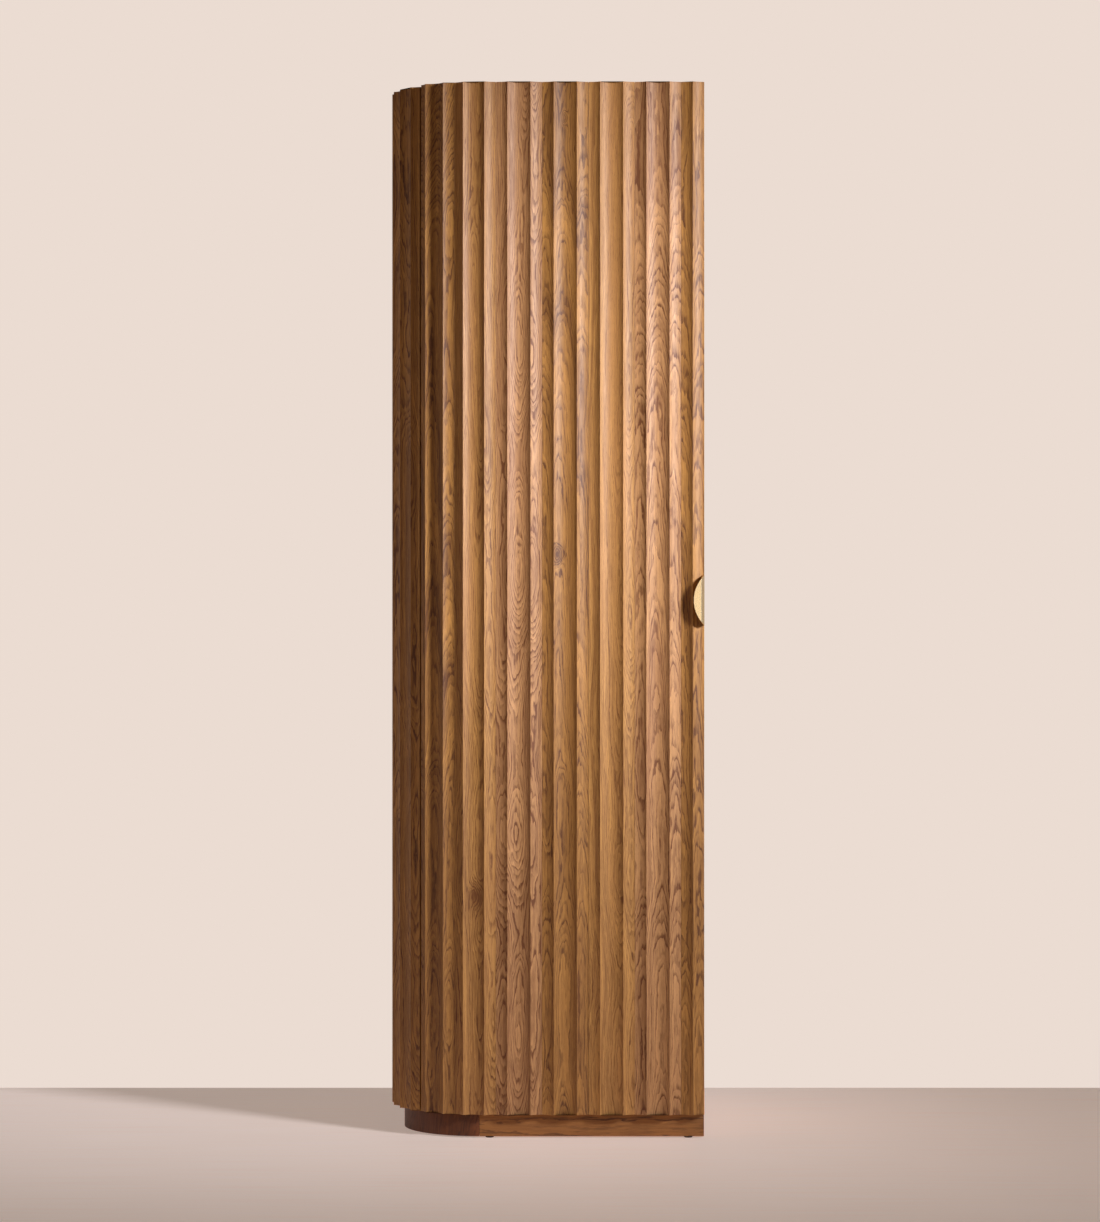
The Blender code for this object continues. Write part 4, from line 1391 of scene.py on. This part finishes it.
def flute_edges(rim: FlutedRim, way: int) -> list[float]:
    """The flute numbers of a run's glue joints, two flutes apart, from the door's hinge edge.

    Args:
        rim: The line that the skin follows.
        way: 1 for the door's run and -1 for the side's.

    Returns:
        The flute numbers, in order from the hinge edge.
    """
    end = rim.straight_flutes if way > 0 else -rim.corner_flutes - rim.straight_flutes
    edges = [rim.split]
    while (end - edges[-1]) * way > 0:
        edges.append(min(edges[-1] + 2, end) if way > 0 else max(edges[-1] - 2, end))
    return edges


def main() -> None:
    """Builds the sub-assemblies in order and reports each piece."""
    logging.basicConfig(level=logging.INFO, format="%(message)s")
    low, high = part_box("door_stave_7")
    rim = FlutedRim(left=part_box("side_core")[0].x - 22.3 * MM, right=high.x, front=low.y)
    golden = Oak(light="#c8914d", dark="#673811", blush="#ba814c")
    pink = Oak(light="#ca955f", dark="#6d3d1c", blush="#be8658", blush_share=0.5)
    brown = Oak(light="#bd8541", dark="#5e330f", blush="#ad7745", blush_share=0.2)
    plinth = {"ring_spacing": 3.2 * MM, "lean": 0.004, "wander": 1.5 * MM}
    base = Oak(light="#b07336", dark="#57300f", blush="#9c6636", **plinth)
    veneer = Oak(light="#cfa06c", dark="#94622f", contrast=0.4, slot=Slot.VENEER)
    # Painted shade: a much darker oak that stands for the shade on the plinth's rails away from the key lamp.
    dark = Oak(light="#763d16", dark="#421f0b", blush="#622d14", contrast=0.35, slot=Slot.DARK_OAK_FOR_PAINTED_SHADE)
    brass = Brass().material("lacquered_brass")
    steel = Plated().material("zinc_plated_steel")
    plastic = Moulded().material("black_abs")
    low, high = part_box("door_core")
    knots = {4: ((0.035, 1.972, 5 * MM), (0.022, 1.129, 9 * MM)), 2: ((-0.136, 0.47, 13 * MM),)}
    door = Skin(rim, Body.DOOR, "door", flute_edges(rim, 1), low.z, high.z, [brown, golden, pink], 101, knots)
    staves = door.build()
    core = door.build_core(veneer)
    low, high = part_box("side_core")
    side = Skin(rim, Body.CARCASS, "side", flute_edges(rim, -1), low.z, high.z, [brown, golden], 201)
    side.build()
    side.build_core(veneer)
    pull = Pull(rim, height=1.041, projection=14 * MM)
    hinges = Hinges(rim)
    cut(staves[0], hinges.mortises())
    cut(core, hinges.mortises())
    cut(staves[-1], [pull.rebate()])
    pull.build(brass)
    hinges.build(steel)
    Catches().build(plastic, steel)
    carcass = Carcass(rim, golden, veneer, dark, base)
    carcass.build()
    carcass.build_glides(plastic)
    Studio().build()
    low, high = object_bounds()


if __name__ == "__main__":
    main()
